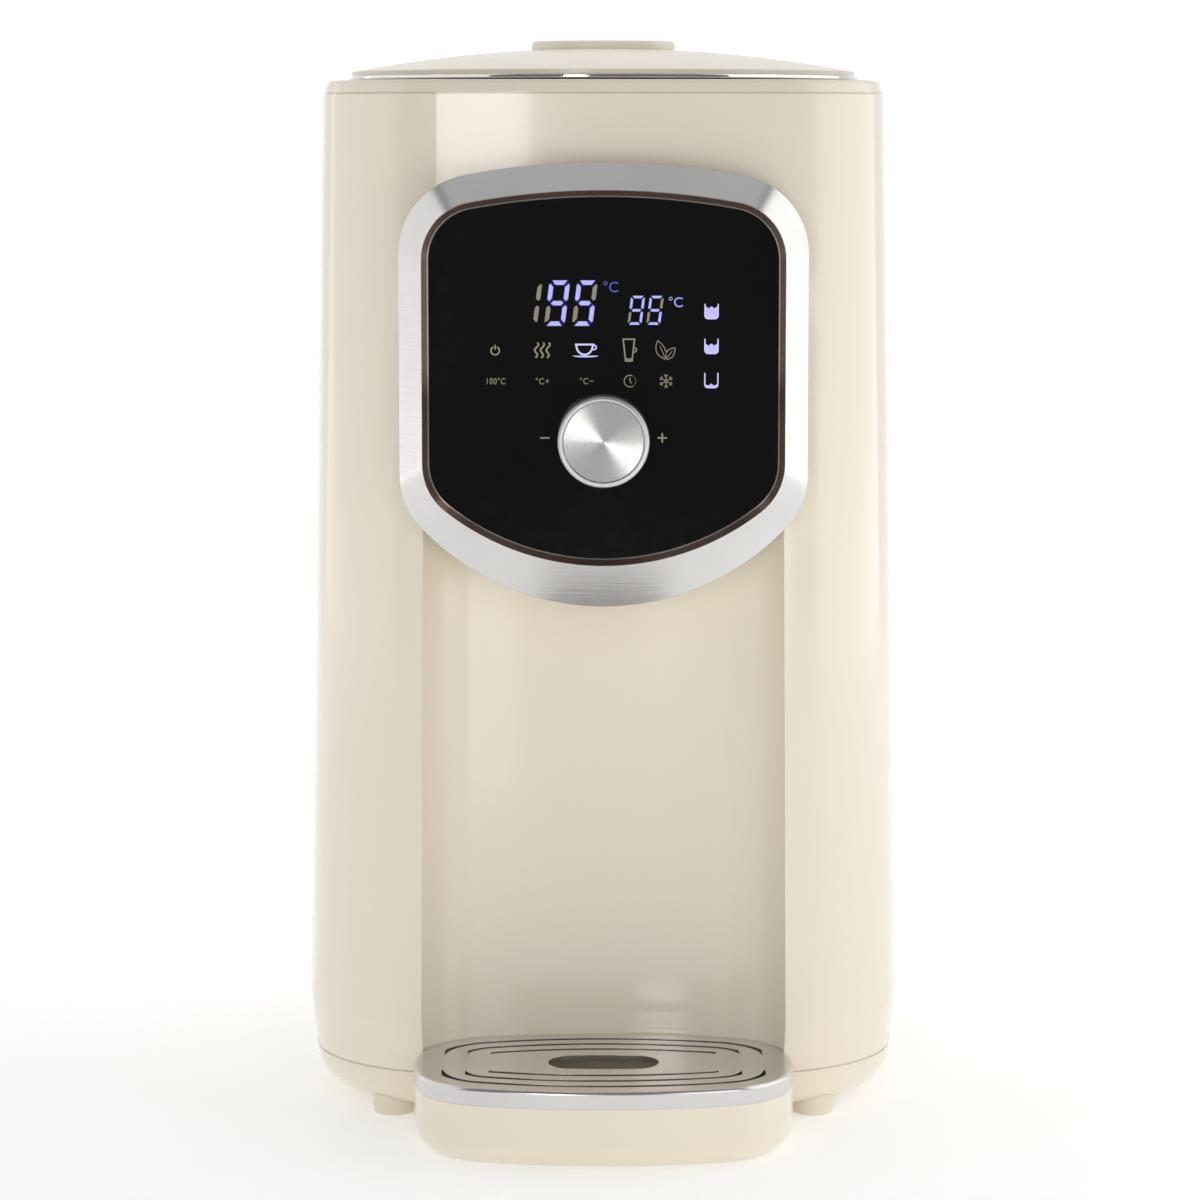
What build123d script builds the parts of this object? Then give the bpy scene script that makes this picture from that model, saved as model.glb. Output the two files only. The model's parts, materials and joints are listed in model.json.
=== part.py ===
from build123d import *
import os
from math import copysign, cos, radians, sin

os.makedirs("parts", exist_ok=True)

# A hot water dispenser: a rounded square housing round an upright steel tank, a control panel with
# a knob high on the front, a cup alcove under it and a drip tray that nests in the alcove.
# +Z is up, the front faces -Y, and the origin is on the table under the middle of the whole.

# Housing: a square with bulging sides, widest at the belt. The insets are taken from its half width.
body_half = 108.0
seam_inset = 2.0
shoulder_inset = 7.0
collar_inset = 8.4
body_crown = 10.2
body_corner = 54.0
base_bottom = 4.0
seam_height = 19.0
belt_height = 36.0
collar_top = 361.7
collar_height = 4.7
base_round = 14.6
collar_round = 1.6
wall = 2.5
lip_height = 5.0
lip_overlap = 3.0
lip_thickness = 1.8
lip_gap = 0.2
groove_width = 0.5
groove_depth = 0.4

seam_half = body_half - seam_inset
shoulder_half = body_half - shoulder_inset
collar_half = body_half - collar_inset
shoulder_height = collar_top - collar_height

# Tank and what stands round it: the space beside it carries the hose, the fan and the boards
side_space = 36.5
tank_sheet = 0.8
tank_bottom = 58.0
tank_rim_drop = 13.9
tank_flange = 8.5
tank_bottom_round = 8.0
sleeve_gap = 0.3
sleeve_thickness = 2.0
sleeve_bottom_step = 4.0
sleeve_top_step = 9.8
gasket_thickness = 1.4
gasket_inset = 0.6
gasket_width = 7.0
clamp_thickness = 3.6
clamp_gap = 0.8
clamp_margin = 5.5
neck_margin = 4.0
neck_thickness = 2.6
neck_flange = 3.6
collar_screw_step = 2.4
collar_screw_count = 6

tank_radius = body_half - side_space
tank_rim = collar_top - tank_rim_drop
tank_flange_radius = tank_radius + tank_flange
sleeve_radius = tank_radius + sleeve_gap + sleeve_thickness
gasket_outer = tank_flange_radius - gasket_inset
clamp_outer = tank_flange_radius + clamp_margin
neck_radius = tank_flange_radius + neck_margin
neck_bottom = tank_rim + gasket_thickness
collar_screw_radius = tank_flange_radius + collar_screw_step

# Drip tray: its outline also gives the alcove's plan
tray_half_width = 65.0
tray_half_depth = 41.4
tray_side_crown = 8.6
tray_end_crown = 9.8
tray_corner = 28.0
tray_rim = 21.1
tray_wall = 2.2
tray_floor = 2.4
tray_bottom_round = 8.5
cover_height = 6.0
cover_plate = 1.6
cover_band = 1.8
cover_round = 1.2
cover_lip_depth = 3.0
cover_lip_gap = 0.4
cover_lip_thickness = 1.2
slot_rows = 3
slot_width = 2.4
slot_inset = 8.0
slot_pitch = 7.4
slot_half_length = 55.0
slot_shortening = 8.0
drain_half_width = 19.0
drain_half_depth = 9.8
drain_side_crown = 5.0
drain_end_crown = 0.8
drain_corner = 6.0

tray_top = tray_rim + cover_height

# Alcove: its back stands just in front of the tank's sleeve, which places the tray and the housing
alcove_gap = 0.6
alcove_space = 2.3

total_depth = body_half + sleeve_radius + alcove_space + wall + alcove_gap + 2 * tray_half_depth
body_y = total_depth / 2 - body_half
tray_y = tray_half_depth - total_depth / 2
front_y = body_y - body_half
back_y = body_y + body_half

# Control panel: heights are taken from its lower and upper edge, depths from the housing's front
panel_drop = 27.7
bezel_height = 150.7
bezel_margin = 38.7
bezel_top_crown = 9.8
bezel_bottom_crown = 35.8
bezel_top_corner = 27.0
bezel_bottom_corner = 25.0
bezel_side = 10.5
bezel_head = 11.7
bezel_chin = 17.4
bezel_sink = 17.0
glass_top_crown = 7.1
glass_bottom_crown = 24.0
glass_top_corner = 17.0
glass_bottom_corner = 18.0
crest_margin = 2.4
land_reach = 1.0
crest_reach = 11.0
glass_sink = 3.0
glass_thickness = 2.4
glass_seat = 1.2
fit_gap = 0.15
window_margin = 1.0
pod_inset = 1.0
pod_depth = 41.0
alcove_head = 48.7

bezel_top = collar_top - panel_drop
bezel_bottom = bezel_top - bezel_height
bezel_half_width = body_half - bezel_margin
glass_half_width = bezel_half_width - bezel_side
glass_top = bezel_top - bezel_head
glass_bottom = bezel_bottom + bezel_chin
bezel_land_y = front_y - land_reach
crest_y = front_y - crest_reach
glass_y = crest_y + glass_sink
pod_back_y = front_y + pod_depth
alcove_top = bezel_bottom + alcove_head

# Panel internals
carrier_depth = 14.6
carrier_wall = 2.0
ledge_width = 4.0
ledge_thickness = 2.0
board_sink = 9.0
board_thickness = 1.6
display_width = 88.0
display_height = 46.0
display_rise = 37.1
display_corner = 1.5
encoder_size = 13.0
panel_screw_inset = 4.0
panel_screw_low = 56.7
panel_screw_high = 104.7
panel_screw_length = 12.0
panel_screw_sink = 15.0

board_front_y = glass_y + board_sink
panel_screw_y = front_y + panel_screw_sink

# Knob
knob_rise = 57.6
knob_radius = 15.5
knob_rim = 1.7
knob_depth = 9.5
knob_face_thickness = 1.4
knob_face_sink = 0.2
knob_travel = 1.0
knob_round = 1.2
knob_standoff = 0.4
knob_wall = 2.4
knob_hub = 3.0
knob_shaft_radius = 3.0
running_gap = 0.05
glass_bore_gap = 1.2

knob_z = bezel_bottom + knob_rise
knob_face_radius = knob_radius - knob_rim
display_z = knob_z + display_rise

# Spout, placed from the housing's front and the panel's lower edge
spout_sink = 15.5
spout_radius = 6.0
spout_tip_rise = 0.7
spout_flange_rise = 6.7
spout_collar_height = 6.0
spout_neck_rise = 22.7
spout_flange_radius = 8.6
spout_flange_thickness = 2.0
spout_hole_gap = 0.8
spout_round = 0.8
seal_lift = 0.6

spout_y = front_y + spout_sink
spout_tip = bezel_bottom + spout_tip_rise
spout_flange_bottom = bezel_bottom + spout_flange_rise
spout_neck_top = bezel_bottom + spout_neck_rise

# Support under the tank
support_inset = 7.5
support_wall = 2.5
support_foot = 7.0
support_foot_thickness = 2.0
support_standoff = 4.0
support_window_share = 1.16
support_arch = 12.0
support_screw_count = 4
seat_gap = 0.1

support_inner = tank_radius - support_inset
support_outer = support_inner + support_wall
support_window_width = support_inner * support_window_share

# Heater
heater_inset = 6.0
heater_thickness = 2.8
element_inset = 8.0
element_radius = 3.0
element_sink = 0.6
terminal_radius = 1.6
terminal_length = 9.0
terminal_half_pitch = 9.0
cutout_x = 24.0
cutout_forward = 15.0
cutout_radius = 8.0
cutout_height = 6.0
cutout_flange = 2.0
cutout_flange_thickness = 1.0
tab_height = 6.0
tab_width = 5.0
tab_thickness = 0.8
tab_half_pitch = 4.0
probe_radius = 3.0
probe_length = 10.0
probe_flange_radius = 6.5
probe_flange_thickness = 1.6

heater_radius = support_inner - heater_inset
element_ring_radius = heater_radius - element_inset
cutout_y = body_y + cutout_forward

# Pump, under the tank's left front
pump_inset = 30.0
pump_forward = 15.0
pump_radius = 19.0
pump_wall = 2.6
pump_bottom = 26.2
pump_height = 16.0
motor_radius = 14.0
motor_round = 1.5
motor_ring_gap = 0.9
motor_ring_wall = 2.5
nipple_radius = 6.0
nipple_bore = 4.2
nipple_length = 5.0
outlet_offset = 12.0
outlet_reach = 28.0
hose_radius = 4.0
hose_bore = 2.6
coupler_thickness = 1.6
coupler_half_length = 4.0
inlet_sleeve_wall = 2.4
impeller_radius = 14.8
impeller_blades = 6
impeller_disc = 2.0
impeller_height = 6.5
impeller_gap = 0.8
impeller_hub = 3.7
impeller_blade_thickness = 1.4
pin_radius = 1.5

pump_x = pump_inset - support_inner
pump_y = body_y - pump_forward

# Outlet hose route
riser_space = 24.0
hose_rise = 42.7
hose_cross_x = 20.0
hose_cross_y = 6.0
hose_turn = 18.0
hose_first_turn = 14.0
hose_front_turn = 14.0
hose_down_turn = 12.0

riser_x = riser_space - body_half
hose_top = bezel_bottom + hose_rise

# Base fittings
foot_radius = 7.2
foot_side_inset = 32.0
foot_end_inset = 23.0
foot_round = 0.9
foot_trim = 6.0
post_inset = 36.0
post_radius = 4.6
post_top = 24.0
boss_height = 16.0
boss_bore = 12.0
gusset_start = 1.6
gusset_reach = 26.6
gusset_thickness = 3.0
gusset_gap = 0.3
screw_radius = 1.5
screw_head_radius = 2.9
screw_head_height = 1.8
screw_hole_gap = 0.05
screw_head_gap = 0.4
base_screw_grip = 8.0
standoff_margin = 1.0
intake_slots = 5
intake_pitch = 7.0
intake_width = 3.0
intake_length = 44.0
intake_x = 24.0

corner_post = seam_half - post_inset
foot_x = seam_half - foot_side_inset
foot_step = seam_half - foot_end_inset

# Fan behind the left louvres
fan_z = 76.0
fan_half = 20.0
fan_depth = 10.0
fan_wall = 1.4
fan_round = 3.0
fan_screw_inset = 3.4
fan_screw_grip = 1.5
strut_count = 3
strut_width = 2.6
strut_thickness = 1.2
blade_count = 7
blade_pitch = 40.0
blade_chord = 8.0
blade_thickness = 1.0
blade_gap = 0.6
hub_radius = 9.0
hub_overlap = 0.8
rotor_gap = 1.0
rotor_depth = 7.2
fan_wall_gap = 1.8
louvre_count = 5
louvre_pitch = 7.6
louvre_height = 3.4
louvre_length = 34.0

fan_bore = fan_half - fan_wall
blade_radius = fan_bore - blade_gap

# Power inlet at the back
inlet_z = 46.0
inlet_width = 27.4
inlet_height = 19.4
inlet_depth = 22.0
inlet_corner = 1.8
inlet_recess = 0.4
inlet_well_width = 22.0
inlet_well_height = 14.0
inlet_well_depth = 16.0
inlet_well_corner = 3.0
inlet_flange_margin = 3.5
inlet_flange_thickness = 2.0
inlet_flange_gap = 1.3
inlet_hole_gap = 0.3
blade_pin_width = 2.0
blade_pin_height = 6.0
blade_pin_spacing = 7.0
blade_pin_stagger = 1.5
blade_pin_length = 13.0

# Power board
power_x = 40.0
power_half_width = 26.0
power_bottom = 12.0
power_height = 46.0
power_sink = 25.0
power_post_x = 18.0
power_post_z = 6.0
power_post_radius = 4.0
power_post_length = 5.0
transformer_size = (20.0, 16.0, 14.0)
relay_size = (15.0, 12.0, 11.0)
capacitor_radius = 5.0
capacitor_length = 12.0
component_rise = 33.0
component_offset = 11.0
capacitor_rise = 15.0

power_y = back_y - power_sink

# Level sensor strip on the right of the tank
level_width = 14.0
level_thickness = 1.4
level_gap = 0.2
level_bottom_step = 32.0
level_top_step = 37.8

# Lid, with heights taken from the collar's top
ring_gap = 0.5
ring_thickness = 1.5
ring_inset = 7.1
ring_round = 0.5
cover_step = 1.3
cover_rim_height = 1.6
cover_rise = 8.6
lid_wall = 2.0
lid_rim_wall = 2.4
pan_gap = 1.4
pan_drop = 7.2
pan_sheet = 1.2
seal_inset = 2.2
seal_width = 7.0
seal_gap = 0.2
lid_screw_inset = 40.6
lid_boss_radius = 3.6
lid_boss_drop = 4.3
lid_screw_length = 8.0
hinge_step = 2.5
hinge_rise = 2.3
hinge_barrel = 4.0
hinge_notch_gap = 0.45
lid_barrel_half = 12.0
hinge_half = 24.0
hinge_side_gap = 0.5
hinge_pin_inset = 0.5
hinge_ring_gap = 0.6
lid_web_reach = 9.0
lid_web_rise = 2.6

ring_bottom = collar_top + ring_gap
ring_top = ring_bottom + ring_thickness
ring_radius = collar_half - ring_inset
cover_rim_radius = ring_radius - cover_step
cover_rim_top = ring_top + cover_rim_height
crown_top = cover_rim_top + cover_rise
pan_radius = neck_radius - pan_gap
pan_bottom = collar_top - pan_drop
pan_floor = pan_bottom + pan_sheet
seal_outer = pan_radius - seal_inset
lid_screw_place = pan_radius - lid_screw_inset
hinge_y = body_y + ring_radius + hinge_step
hinge_z = collar_top + hinge_rise

# Lid button, its springs, the latch bolt and the steam outlet
grip_half_width = 26.0
grip_half_depth = 17.0
grip_side_crown = 9.0
grip_end_crown = 3.0
grip_corner = 9.0
grip_gap = 0.4
grip_round = 1.5
grip_rise = 2.6
grip_flange = 1.8
grip_flange_drop = 3.4
grip_flange_thickness = 1.6
button_travel = 2.5
spring_radius = 5.0
spring_wire = 0.45
spring_turns = 5
spring_x = 15.0
bolt_width = 12.0
bolt_height = 4.0
bolt_rise = 1.7
bolt_nose = 1.3
bolt_tail = 8.0
bolt_gap = 0.3
bolt_rest_length = 8.0
bolt_rest_step = 20.0
bolt_rest_pitch = 36.0
bolt_pocket = 3.0
ramp_step = 14.0
ramp_height = 3.0
finger_gap = 0.4
finger_drop = 2.1
finger_width = 6.0
finger_depth = 5.7
guide_thickness = 1.6
guide_length = 52.0
guide_step = 38.0
steam_inset = 34.6
steam_radius = 9.0
steam_drop = 3.5
steam_wall = 1.6
steam_floor = 1.2
steam_flange = 2.2
steam_top_drop = 5.9
steam_hole_count = 4
steam_hole_radius = 1.3
steam_hole_ring = 4.2
steam_slot_count = 3
steam_slot_pitch = 4.6
steam_slot_width = 1.8
steam_slot_length = 11.0

grip_top = crown_top + grip_rise
grip_flange_top = crown_top - grip_flange_drop
flange_bottom = grip_flange_top - grip_flange_thickness
bolt_bottom = pan_floor + bolt_rise
bolt_top = bolt_bottom + bolt_height
ramp_y = body_y - ramp_step
steam_y = body_y + pan_radius - steam_inset

# How far a cut runs past the solid that it goes through
past = 1.0


def level_plane(z, x=0.0, y=0.0):
    """A horizontal plane that looks up."""
    return Plane(origin=(x, y, z), x_dir=(1, 0, 0), z_dir=(0, 0, 1))


def front_plane(y, x=0.0, z=0.0):
    """An upright plane that looks forward, with its own x to the right and its own y up."""
    return Plane(origin=(x, y, z), x_dir=(1, 0, 0), z_dir=(0, -1, 0))


def side_plane(x, y=0.0, z=0.0):
    """An upright plane that looks to the right, with its own x to the back and its own y up."""
    return Plane(origin=(x, y, z), x_dir=(0, 1, 0), z_dir=(1, 0, 0))


def crowned_edges(half_x, half_y, crown_x, crown_y, corner):
    """The edges of a rectangle with bulging sides and round corners."""
    corner_x = half_x - crown_x
    corner_y = half_y - crown_y
    with BuildSketch() as outline:
        with BuildLine():
            ThreePointArc((-corner_x, -corner_y), (0, -half_y), (corner_x, -corner_y))
            ThreePointArc((corner_x, -corner_y), (half_x, 0), (corner_x, corner_y))
            ThreePointArc((corner_x, corner_y), (0, half_y), (-corner_x, corner_y))
            ThreePointArc((-corner_x, corner_y), (-half_x, 0), (-corner_x, -corner_y))
        make_face()
        fillet(outline.vertices(), corner)
    return outline.sketch.edges()


def shield_edges(half, top, bottom, top_crown, bottom_crown, top_corner, bottom_corner):
    """The edges of an outline with straight sides, a flat arch on top and a deep bow below."""
    with BuildSketch() as outline:
        with BuildLine():
            ThreePointArc((-half, top - top_crown), (0, top), (half, top - top_crown))
            Line((half, top - top_crown), (half, bottom + bottom_crown))
            ThreePointArc((half, bottom + bottom_crown), (0, bottom), (-half, bottom + bottom_crown))
            Line((-half, bottom + bottom_crown), (-half, top - top_crown))
        make_face()
        fillet(outline.vertices().group_by(Axis.Y)[-1], top_corner)
        fillet(outline.vertices().group_by(Axis.Y)[0], bottom_corner)
    return outline.sketch.edges()


def grown(plane, edges, distance):
    """An outline moved outwards evenly: each arc keeps its centre, each line steps aside."""
    with BuildSketch(plane) as outline:
        with BuildLine():
            for edge in edges:
                ends = (edge @ 0, edge @ 0.5, edge @ 1)
                if edge.geom_type == GeomType.CIRCLE:
                    centre = edge.arc_center
                    ratio = 1.0 + distance / edge.radius
                    ThreePointArc(*[centre + (point - centre) * ratio for point in ends])
                else:
                    step = Vector(copysign(1.0, ends[1].X) * distance, 0)
                    Line(ends[0] + step, ends[2] + step)
        make_face()
    return outline.sketch


body_edges = crowned_edges(body_half, body_half, body_crown, body_crown, body_corner)
tray_edges = crowned_edges(
    tray_half_width, tray_half_depth, tray_side_crown, tray_end_crown, tray_corner
)
drain_edges = crowned_edges(
    drain_half_width, drain_half_depth, drain_side_crown, drain_end_crown, drain_corner
)
grip_edges = crowned_edges(
    grip_half_width, grip_half_depth, grip_side_crown, grip_end_crown, grip_corner
)
bezel_edges = shield_edges(
    bezel_half_width, bezel_top, bezel_bottom, bezel_top_crown, bezel_bottom_crown,
    bezel_top_corner, bezel_bottom_corner,
)
glass_edges = shield_edges(
    glass_half_width, glass_top, glass_bottom, glass_top_crown, glass_bottom_crown,
    glass_top_corner, glass_bottom_corner,
)


def body_outline(z, half, grow=0.0):
    """The housing's plan at one height."""
    return grown(level_plane(z, y=body_y), body_edges, half - body_half + grow)


def tray_outline(z, grow=0.0):
    """The drip tray's plan at one height."""
    return grown(level_plane(z, y=tray_y), tray_edges, grow)


def grip_outline(z, grow=0.0):
    """The lid button's plan at one height."""
    return grown(level_plane(z, y=body_y), grip_edges, grow)


def bezel_outline(y, grow=0.0):
    """The control panel's outer outline."""
    return grown(front_plane(y), bezel_edges, grow)


def glass_outline(y, grow=0.0):
    """The outline of the glass that shows."""
    return grown(front_plane(y), glass_edges, grow)


def disc(z, radius, hole=0.0, x=0.0, y=body_y):
    """A horizontal disc, or a ring if it has a hole."""
    with BuildSketch(level_plane(z, x, y)) as outline:
        Circle(radius)
        if hole > 0.0:
            Circle(hole, mode=Mode.SUBTRACT)
    return outline.sketch


def dots(plane, places, radius):
    """Round spots of one size at several places on a plane."""
    with BuildSketch(plane) as outline:
        with Locations(*places):
            Circle(radius)
    return outline.sketch


def boxes(plane, places, width, height):
    """Rectangles of one size at several places on a plane."""
    with BuildSketch(plane) as outline:
        with Locations(*places):
            Rectangle(width, height)
    return outline.sketch


def ring_places(radius, count, start=0.0):
    """Evenly spaced places on a circle round the plane's origin."""
    step = 360.0 / count
    return [
        (radius * cos(radians(start + step * turn)), radius * sin(radians(start + step * turn)))
        for turn in range(count)
    ]


def screws(plane, places, length):
    """Pan-head screws whose heads stand on the plane, with a cross recess."""
    recess_depth = screw_head_height * 0.6
    with BuildPart() as group:
        extrude(dots(plane, places, screw_radius), amount=-length)
        extrude(dots(plane, places, screw_head_radius), amount=screw_head_height)
        head_face = plane.offset(screw_head_height)
        long_arm = screw_head_radius * 1.1
        thin_arm = screw_head_radius * 0.28
        for width, height in ((long_arm, thin_arm), (thin_arm, long_arm)):
            recess = boxes(head_face, places, width, height)
            extrude(recess, amount=-recess_depth, mode=Mode.SUBTRACT)
    return group.part


screw_hole = screw_radius + screw_hole_gap


def housing_block(grow=0.0):
    """The housing's solid form from the seam to the shoulder, grown evenly by a distance."""
    with BuildPart() as block:
        belt = body_outline(belt_height, body_half, grow)
        loft([body_outline(seam_height, seam_half, grow), belt], ruled=True)
        loft([belt, body_outline(shoulder_height, shoulder_half, grow)], ruled=True)
    return block.part


def alcove_prism(grow=0.0):
    """The upright prism of the alcove, from under the base to behind the panel."""
    with BuildPart() as prism:
        extrude(tray_outline(-past, alcove_gap + grow), amount=alcove_top + past)
    return prism.part


def pod_prism(grow=0.0):
    """The prism behind the panel that overhangs the alcove, along the depth."""
    with BuildPart() as prism:
        extrude(bezel_outline(pod_back_y, grow - pod_inset), amount=2 * pod_depth)
    return prism.part


def seam_groove(bottom, half):
    """The ring cut out of a piece's edge to make a shadow line at its seam."""
    with BuildPart() as ring:
        extrude(body_outline(bottom, half, groove_width), amount=groove_width)
        extrude(body_outline(bottom, half, -groove_depth), amount=groove_width, mode=Mode.SUBTRACT)
    return ring.part


def square_places(step):
    """Four places at one distance left, right, in front of and behind the plane's origin."""
    return [(x, y) for x in (-step, step) for y in (-step, step)]


housing = housing_block()
housing_inside = housing_block(-wall)
pod = pod_prism()
alcove_cut = alcove_prism() - pod
alcove_lining = alcove_prism(wall) - pod_prism(-wall)

# The four screw places in the housing's corners, seen from the housing's axis
corner_places = square_places(corner_post)

# The four screw places of the control panel, as x and height
panel_screw_x = bezel_half_width - panel_screw_inset
panel_screw_places = [
    (x, bezel_bottom + rise)
    for x in (-panel_screw_x, panel_screw_x)
    for rise in (panel_screw_low, panel_screw_high)
]

# Outer shell: the cream skin with the alcove, the panel's window, louvres and the inlet's hole
fan_outer_x = wall + fan_wall_gap - body_half
fan_plane = side_plane(fan_outer_x, y=body_y, z=fan_z)
fan_corners = square_places(fan_half - fan_screw_inset)
boss_bottom = post_top + seat_gap
louvre_places = [(0, (row - (louvre_count - 1) / 2) * louvre_pitch) for row in range(louvre_count)]

# The four bosses that the base's screws bite into, each held to the skin's corner by a web
with BuildPart() as corner_bosses:
    for side_x in (-1, 1):
        for side_y in (-1, 1):
            gusset_plane = Plane(
                origin=(side_x * corner_post, body_y + side_y * corner_post, boss_bottom),
                x_dir=(side_x, side_y, 0),
                z_dir=(0, 0, 1),
            )
            with BuildSketch(gusset_plane):
                Circle(post_radius)
                with Locations(((gusset_start + gusset_reach) / 2, 0)):
                    Rectangle(gusset_reach - gusset_start, gusset_thickness)
            extrude(amount=boss_height)
    add(housing, mode=Mode.INTERSECT)

with BuildPart() as outer_shell:
    add(housing)
    add(housing_inside, mode=Mode.SUBTRACT)
    add(alcove_lining & housing)
    add(corner_bosses.part)
    add(alcove_cut, mode=Mode.SUBTRACT)
    extrude(
        glass_outline(crest_y, glass_seat + window_margin),
        amount=crest_y - panel_screw_y,
        mode=Mode.SUBTRACT,
    )
    extrude(
        dots(level_plane(boss_bottom - past, y=body_y), corner_places, screw_hole),
        amount=boss_bore + past,
        mode=Mode.SUBTRACT,
    )
    extrude(
        disc(bezel_bottom - wall, spout_radius + spout_hole_gap, y=spout_y),
        amount=spout_flange_bottom - bezel_bottom + wall,
        mode=Mode.SUBTRACT,
    )
    extrude(
        boxes(side_plane(-body_half - past, y=body_y, z=fan_z), louvre_places, louvre_length, louvre_height),
        amount=2 * wall + past,
        mode=Mode.SUBTRACT,
    )
    with BuildSketch(front_plane(back_y + past, z=inlet_z)):
        RectangleRounded(
            inlet_width + 2 * inlet_hole_gap, inlet_height + 2 * inlet_hole_gap, inlet_corner + inlet_hole_gap
        )
    extrude(amount=3 * wall, mode=Mode.SUBTRACT)
    extrude(dots(fan_plane, fan_corners, screw_hole), amount=-fan_wall_gap, mode=Mode.SUBTRACT)
    extrude(
        dots(front_plane(panel_screw_y + past), panel_screw_places, screw_hole),
        amount=panel_screw_length + 3 * past,
        mode=Mode.SUBTRACT,
    )
outer_shell.part.label = "outer_shell"
export_step(outer_shell.part, "parts/outer_shell.step")

# Base shell: the rounded bottom of the housing, with its part of the alcove's lining
with BuildPart() as base_block:
    extrude(body_outline(base_bottom, seam_half), amount=seam_height - base_bottom)
    fillet(base_block.edges().group_by(Axis.Z)[0], base_round)

floor_top = base_bottom + wall
support_places = ring_places(
    support_inner + support_foot, support_screw_count, 180.0 / support_screw_count
)
intake_places = [(0, (row - (intake_slots - 1) / 2) * intake_pitch) for row in range(intake_slots)]
power_post_places = [
    (x, power_bottom + power_post_z) for x in (power_x - power_post_x, power_x + power_post_x)
]

with BuildPart() as base_inside:
    extrude(body_outline(floor_top, seam_half, -wall), amount=seam_height - floor_top)
    fillet(base_inside.edges().group_by(Axis.Z)[0], base_round - wall)

with BuildPart() as base_shell:
    add(base_block.part)
    add(base_inside.part, mode=Mode.SUBTRACT)
    add(alcove_lining & base_block.part)
    extrude(
        body_outline(seam_height - lip_overlap, seam_half, -wall - lip_gap), amount=lip_overlap + lip_height
    )
    extrude(
        body_outline(seam_height - lip_overlap, seam_half, -wall - lip_gap - lip_thickness),
        amount=lip_overlap + lip_height,
        mode=Mode.SUBTRACT,
    )
    with BuildSketch(level_plane(seam_height)):
        add(tray_outline(seam_height, alcove_gap + wall + lip_gap))
    extrude(amount=lip_height, mode=Mode.SUBTRACT)
    for side_x in (-1, 1):
        for side_y in (-1, 1):
            gusset_plane = Plane(
                origin=(side_x * corner_post, body_y + side_y * corner_post, seam_height),
                x_dir=(side_x, side_y, 0),
                z_dir=(0, 0, 1),
            )
            with BuildSketch(gusset_plane):
                with Locations(((gusset_start + gusset_reach) / 2, 0)):
                    Rectangle(gusset_reach - gusset_start, gusset_thickness + 2 * gusset_gap)
            extrude(amount=lip_height + past, mode=Mode.SUBTRACT)
    extrude(dots(level_plane(floor_top, y=body_y), corner_places, post_radius), amount=post_top - floor_top)
    extrude(
        dots(level_plane(floor_top, y=body_y), support_places, screw_head_radius + standoff_margin),
        amount=support_standoff,
    )
    extrude(
        dots(front_plane(power_y + board_thickness), power_post_places, power_post_radius),
        amount=-power_post_length,
    )
    for post_x in (power_x - power_post_x, power_x + power_post_x):
        with BuildSketch(level_plane(floor_top, post_x, power_y + board_thickness + power_post_length / 2)):
            Rectangle(2 * power_post_radius, power_post_length)
        extrude(amount=power_bottom + power_post_z - floor_top)
    motor_ring_inner = motor_radius + motor_ring_gap
    extrude(
        disc(floor_top, motor_ring_inner + motor_ring_wall, motor_ring_inner, pump_x, pump_y),
        amount=support_standoff,
    )
    add(alcove_prism(), mode=Mode.SUBTRACT)
    extrude(
        dots(level_plane(base_bottom, y=body_y), corner_places, screw_hole),
        amount=post_top,
        mode=Mode.SUBTRACT,
    )
    extrude(
        dots(level_plane(base_bottom, y=body_y), corner_places, screw_head_radius + screw_head_gap),
        amount=screw_head_height,
        mode=Mode.SUBTRACT,
    )
    extrude(
        dots(level_plane(floor_top - past, y=body_y), support_places, screw_hole),
        amount=support_standoff + 2 * past,
        mode=Mode.SUBTRACT,
    )
    extrude(
        dots(front_plane(power_y), power_post_places, screw_hole),
        amount=-power_post_length - past,
        mode=Mode.SUBTRACT,
    )
    extrude(
        boxes(level_plane(base_bottom - past, intake_x, body_y), intake_places, intake_length, intake_width),
        amount=wall + 2 * past,
        mode=Mode.SUBTRACT,
    )
    add(seam_groove(seam_height - groove_width, seam_half), mode=Mode.SUBTRACT)
base_shell.part.label = "base_shell"
export_step(base_shell.part, "parts/base_shell.step")

# Feet: short round studs that end on the rounded underside
foot_places = [(x, y) for x in (-foot_x, foot_x) for y in (body_y - foot_step, body_y + foot_step)]

with BuildPart() as feet:
    extrude(dots(level_plane(0.0), foot_places, foot_radius), amount=seam_height - past)
    fillet(feet.edges().group_by(Axis.Z)[0], foot_round)
    add(base_block.part, mode=Mode.SUBTRACT)
    with BuildSketch(level_plane(seam_height - foot_trim)):
        Rectangle(4 * body_half, 4 * body_half)
    extrude(amount=foot_trim + past, mode=Mode.SUBTRACT)
feet.part.label = "feet"
export_step(feet.part, "parts/feet.step")

# Base screws: from below through the base's posts into the shell's bosses
base_screw_plane = Plane(
    origin=(0, body_y, base_bottom + screw_head_height), x_dir=(1, 0, 0), z_dir=(0, 0, -1)
)
base_screws = screws(base_screw_plane, corner_places, post_top + base_screw_grip - base_bottom)
base_screws.label = "base_screws"
export_step(base_screws, "parts/base_screws.step")

# Top collar: the cream ring on the shell, with the neck that stands on the tank's rim
collar_screw_places = ring_places(collar_screw_radius, collar_screw_count, 180.0 / collar_screw_count)
hinge_axis_plane = side_plane(-hinge_half, y=hinge_y, z=hinge_z)

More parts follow.
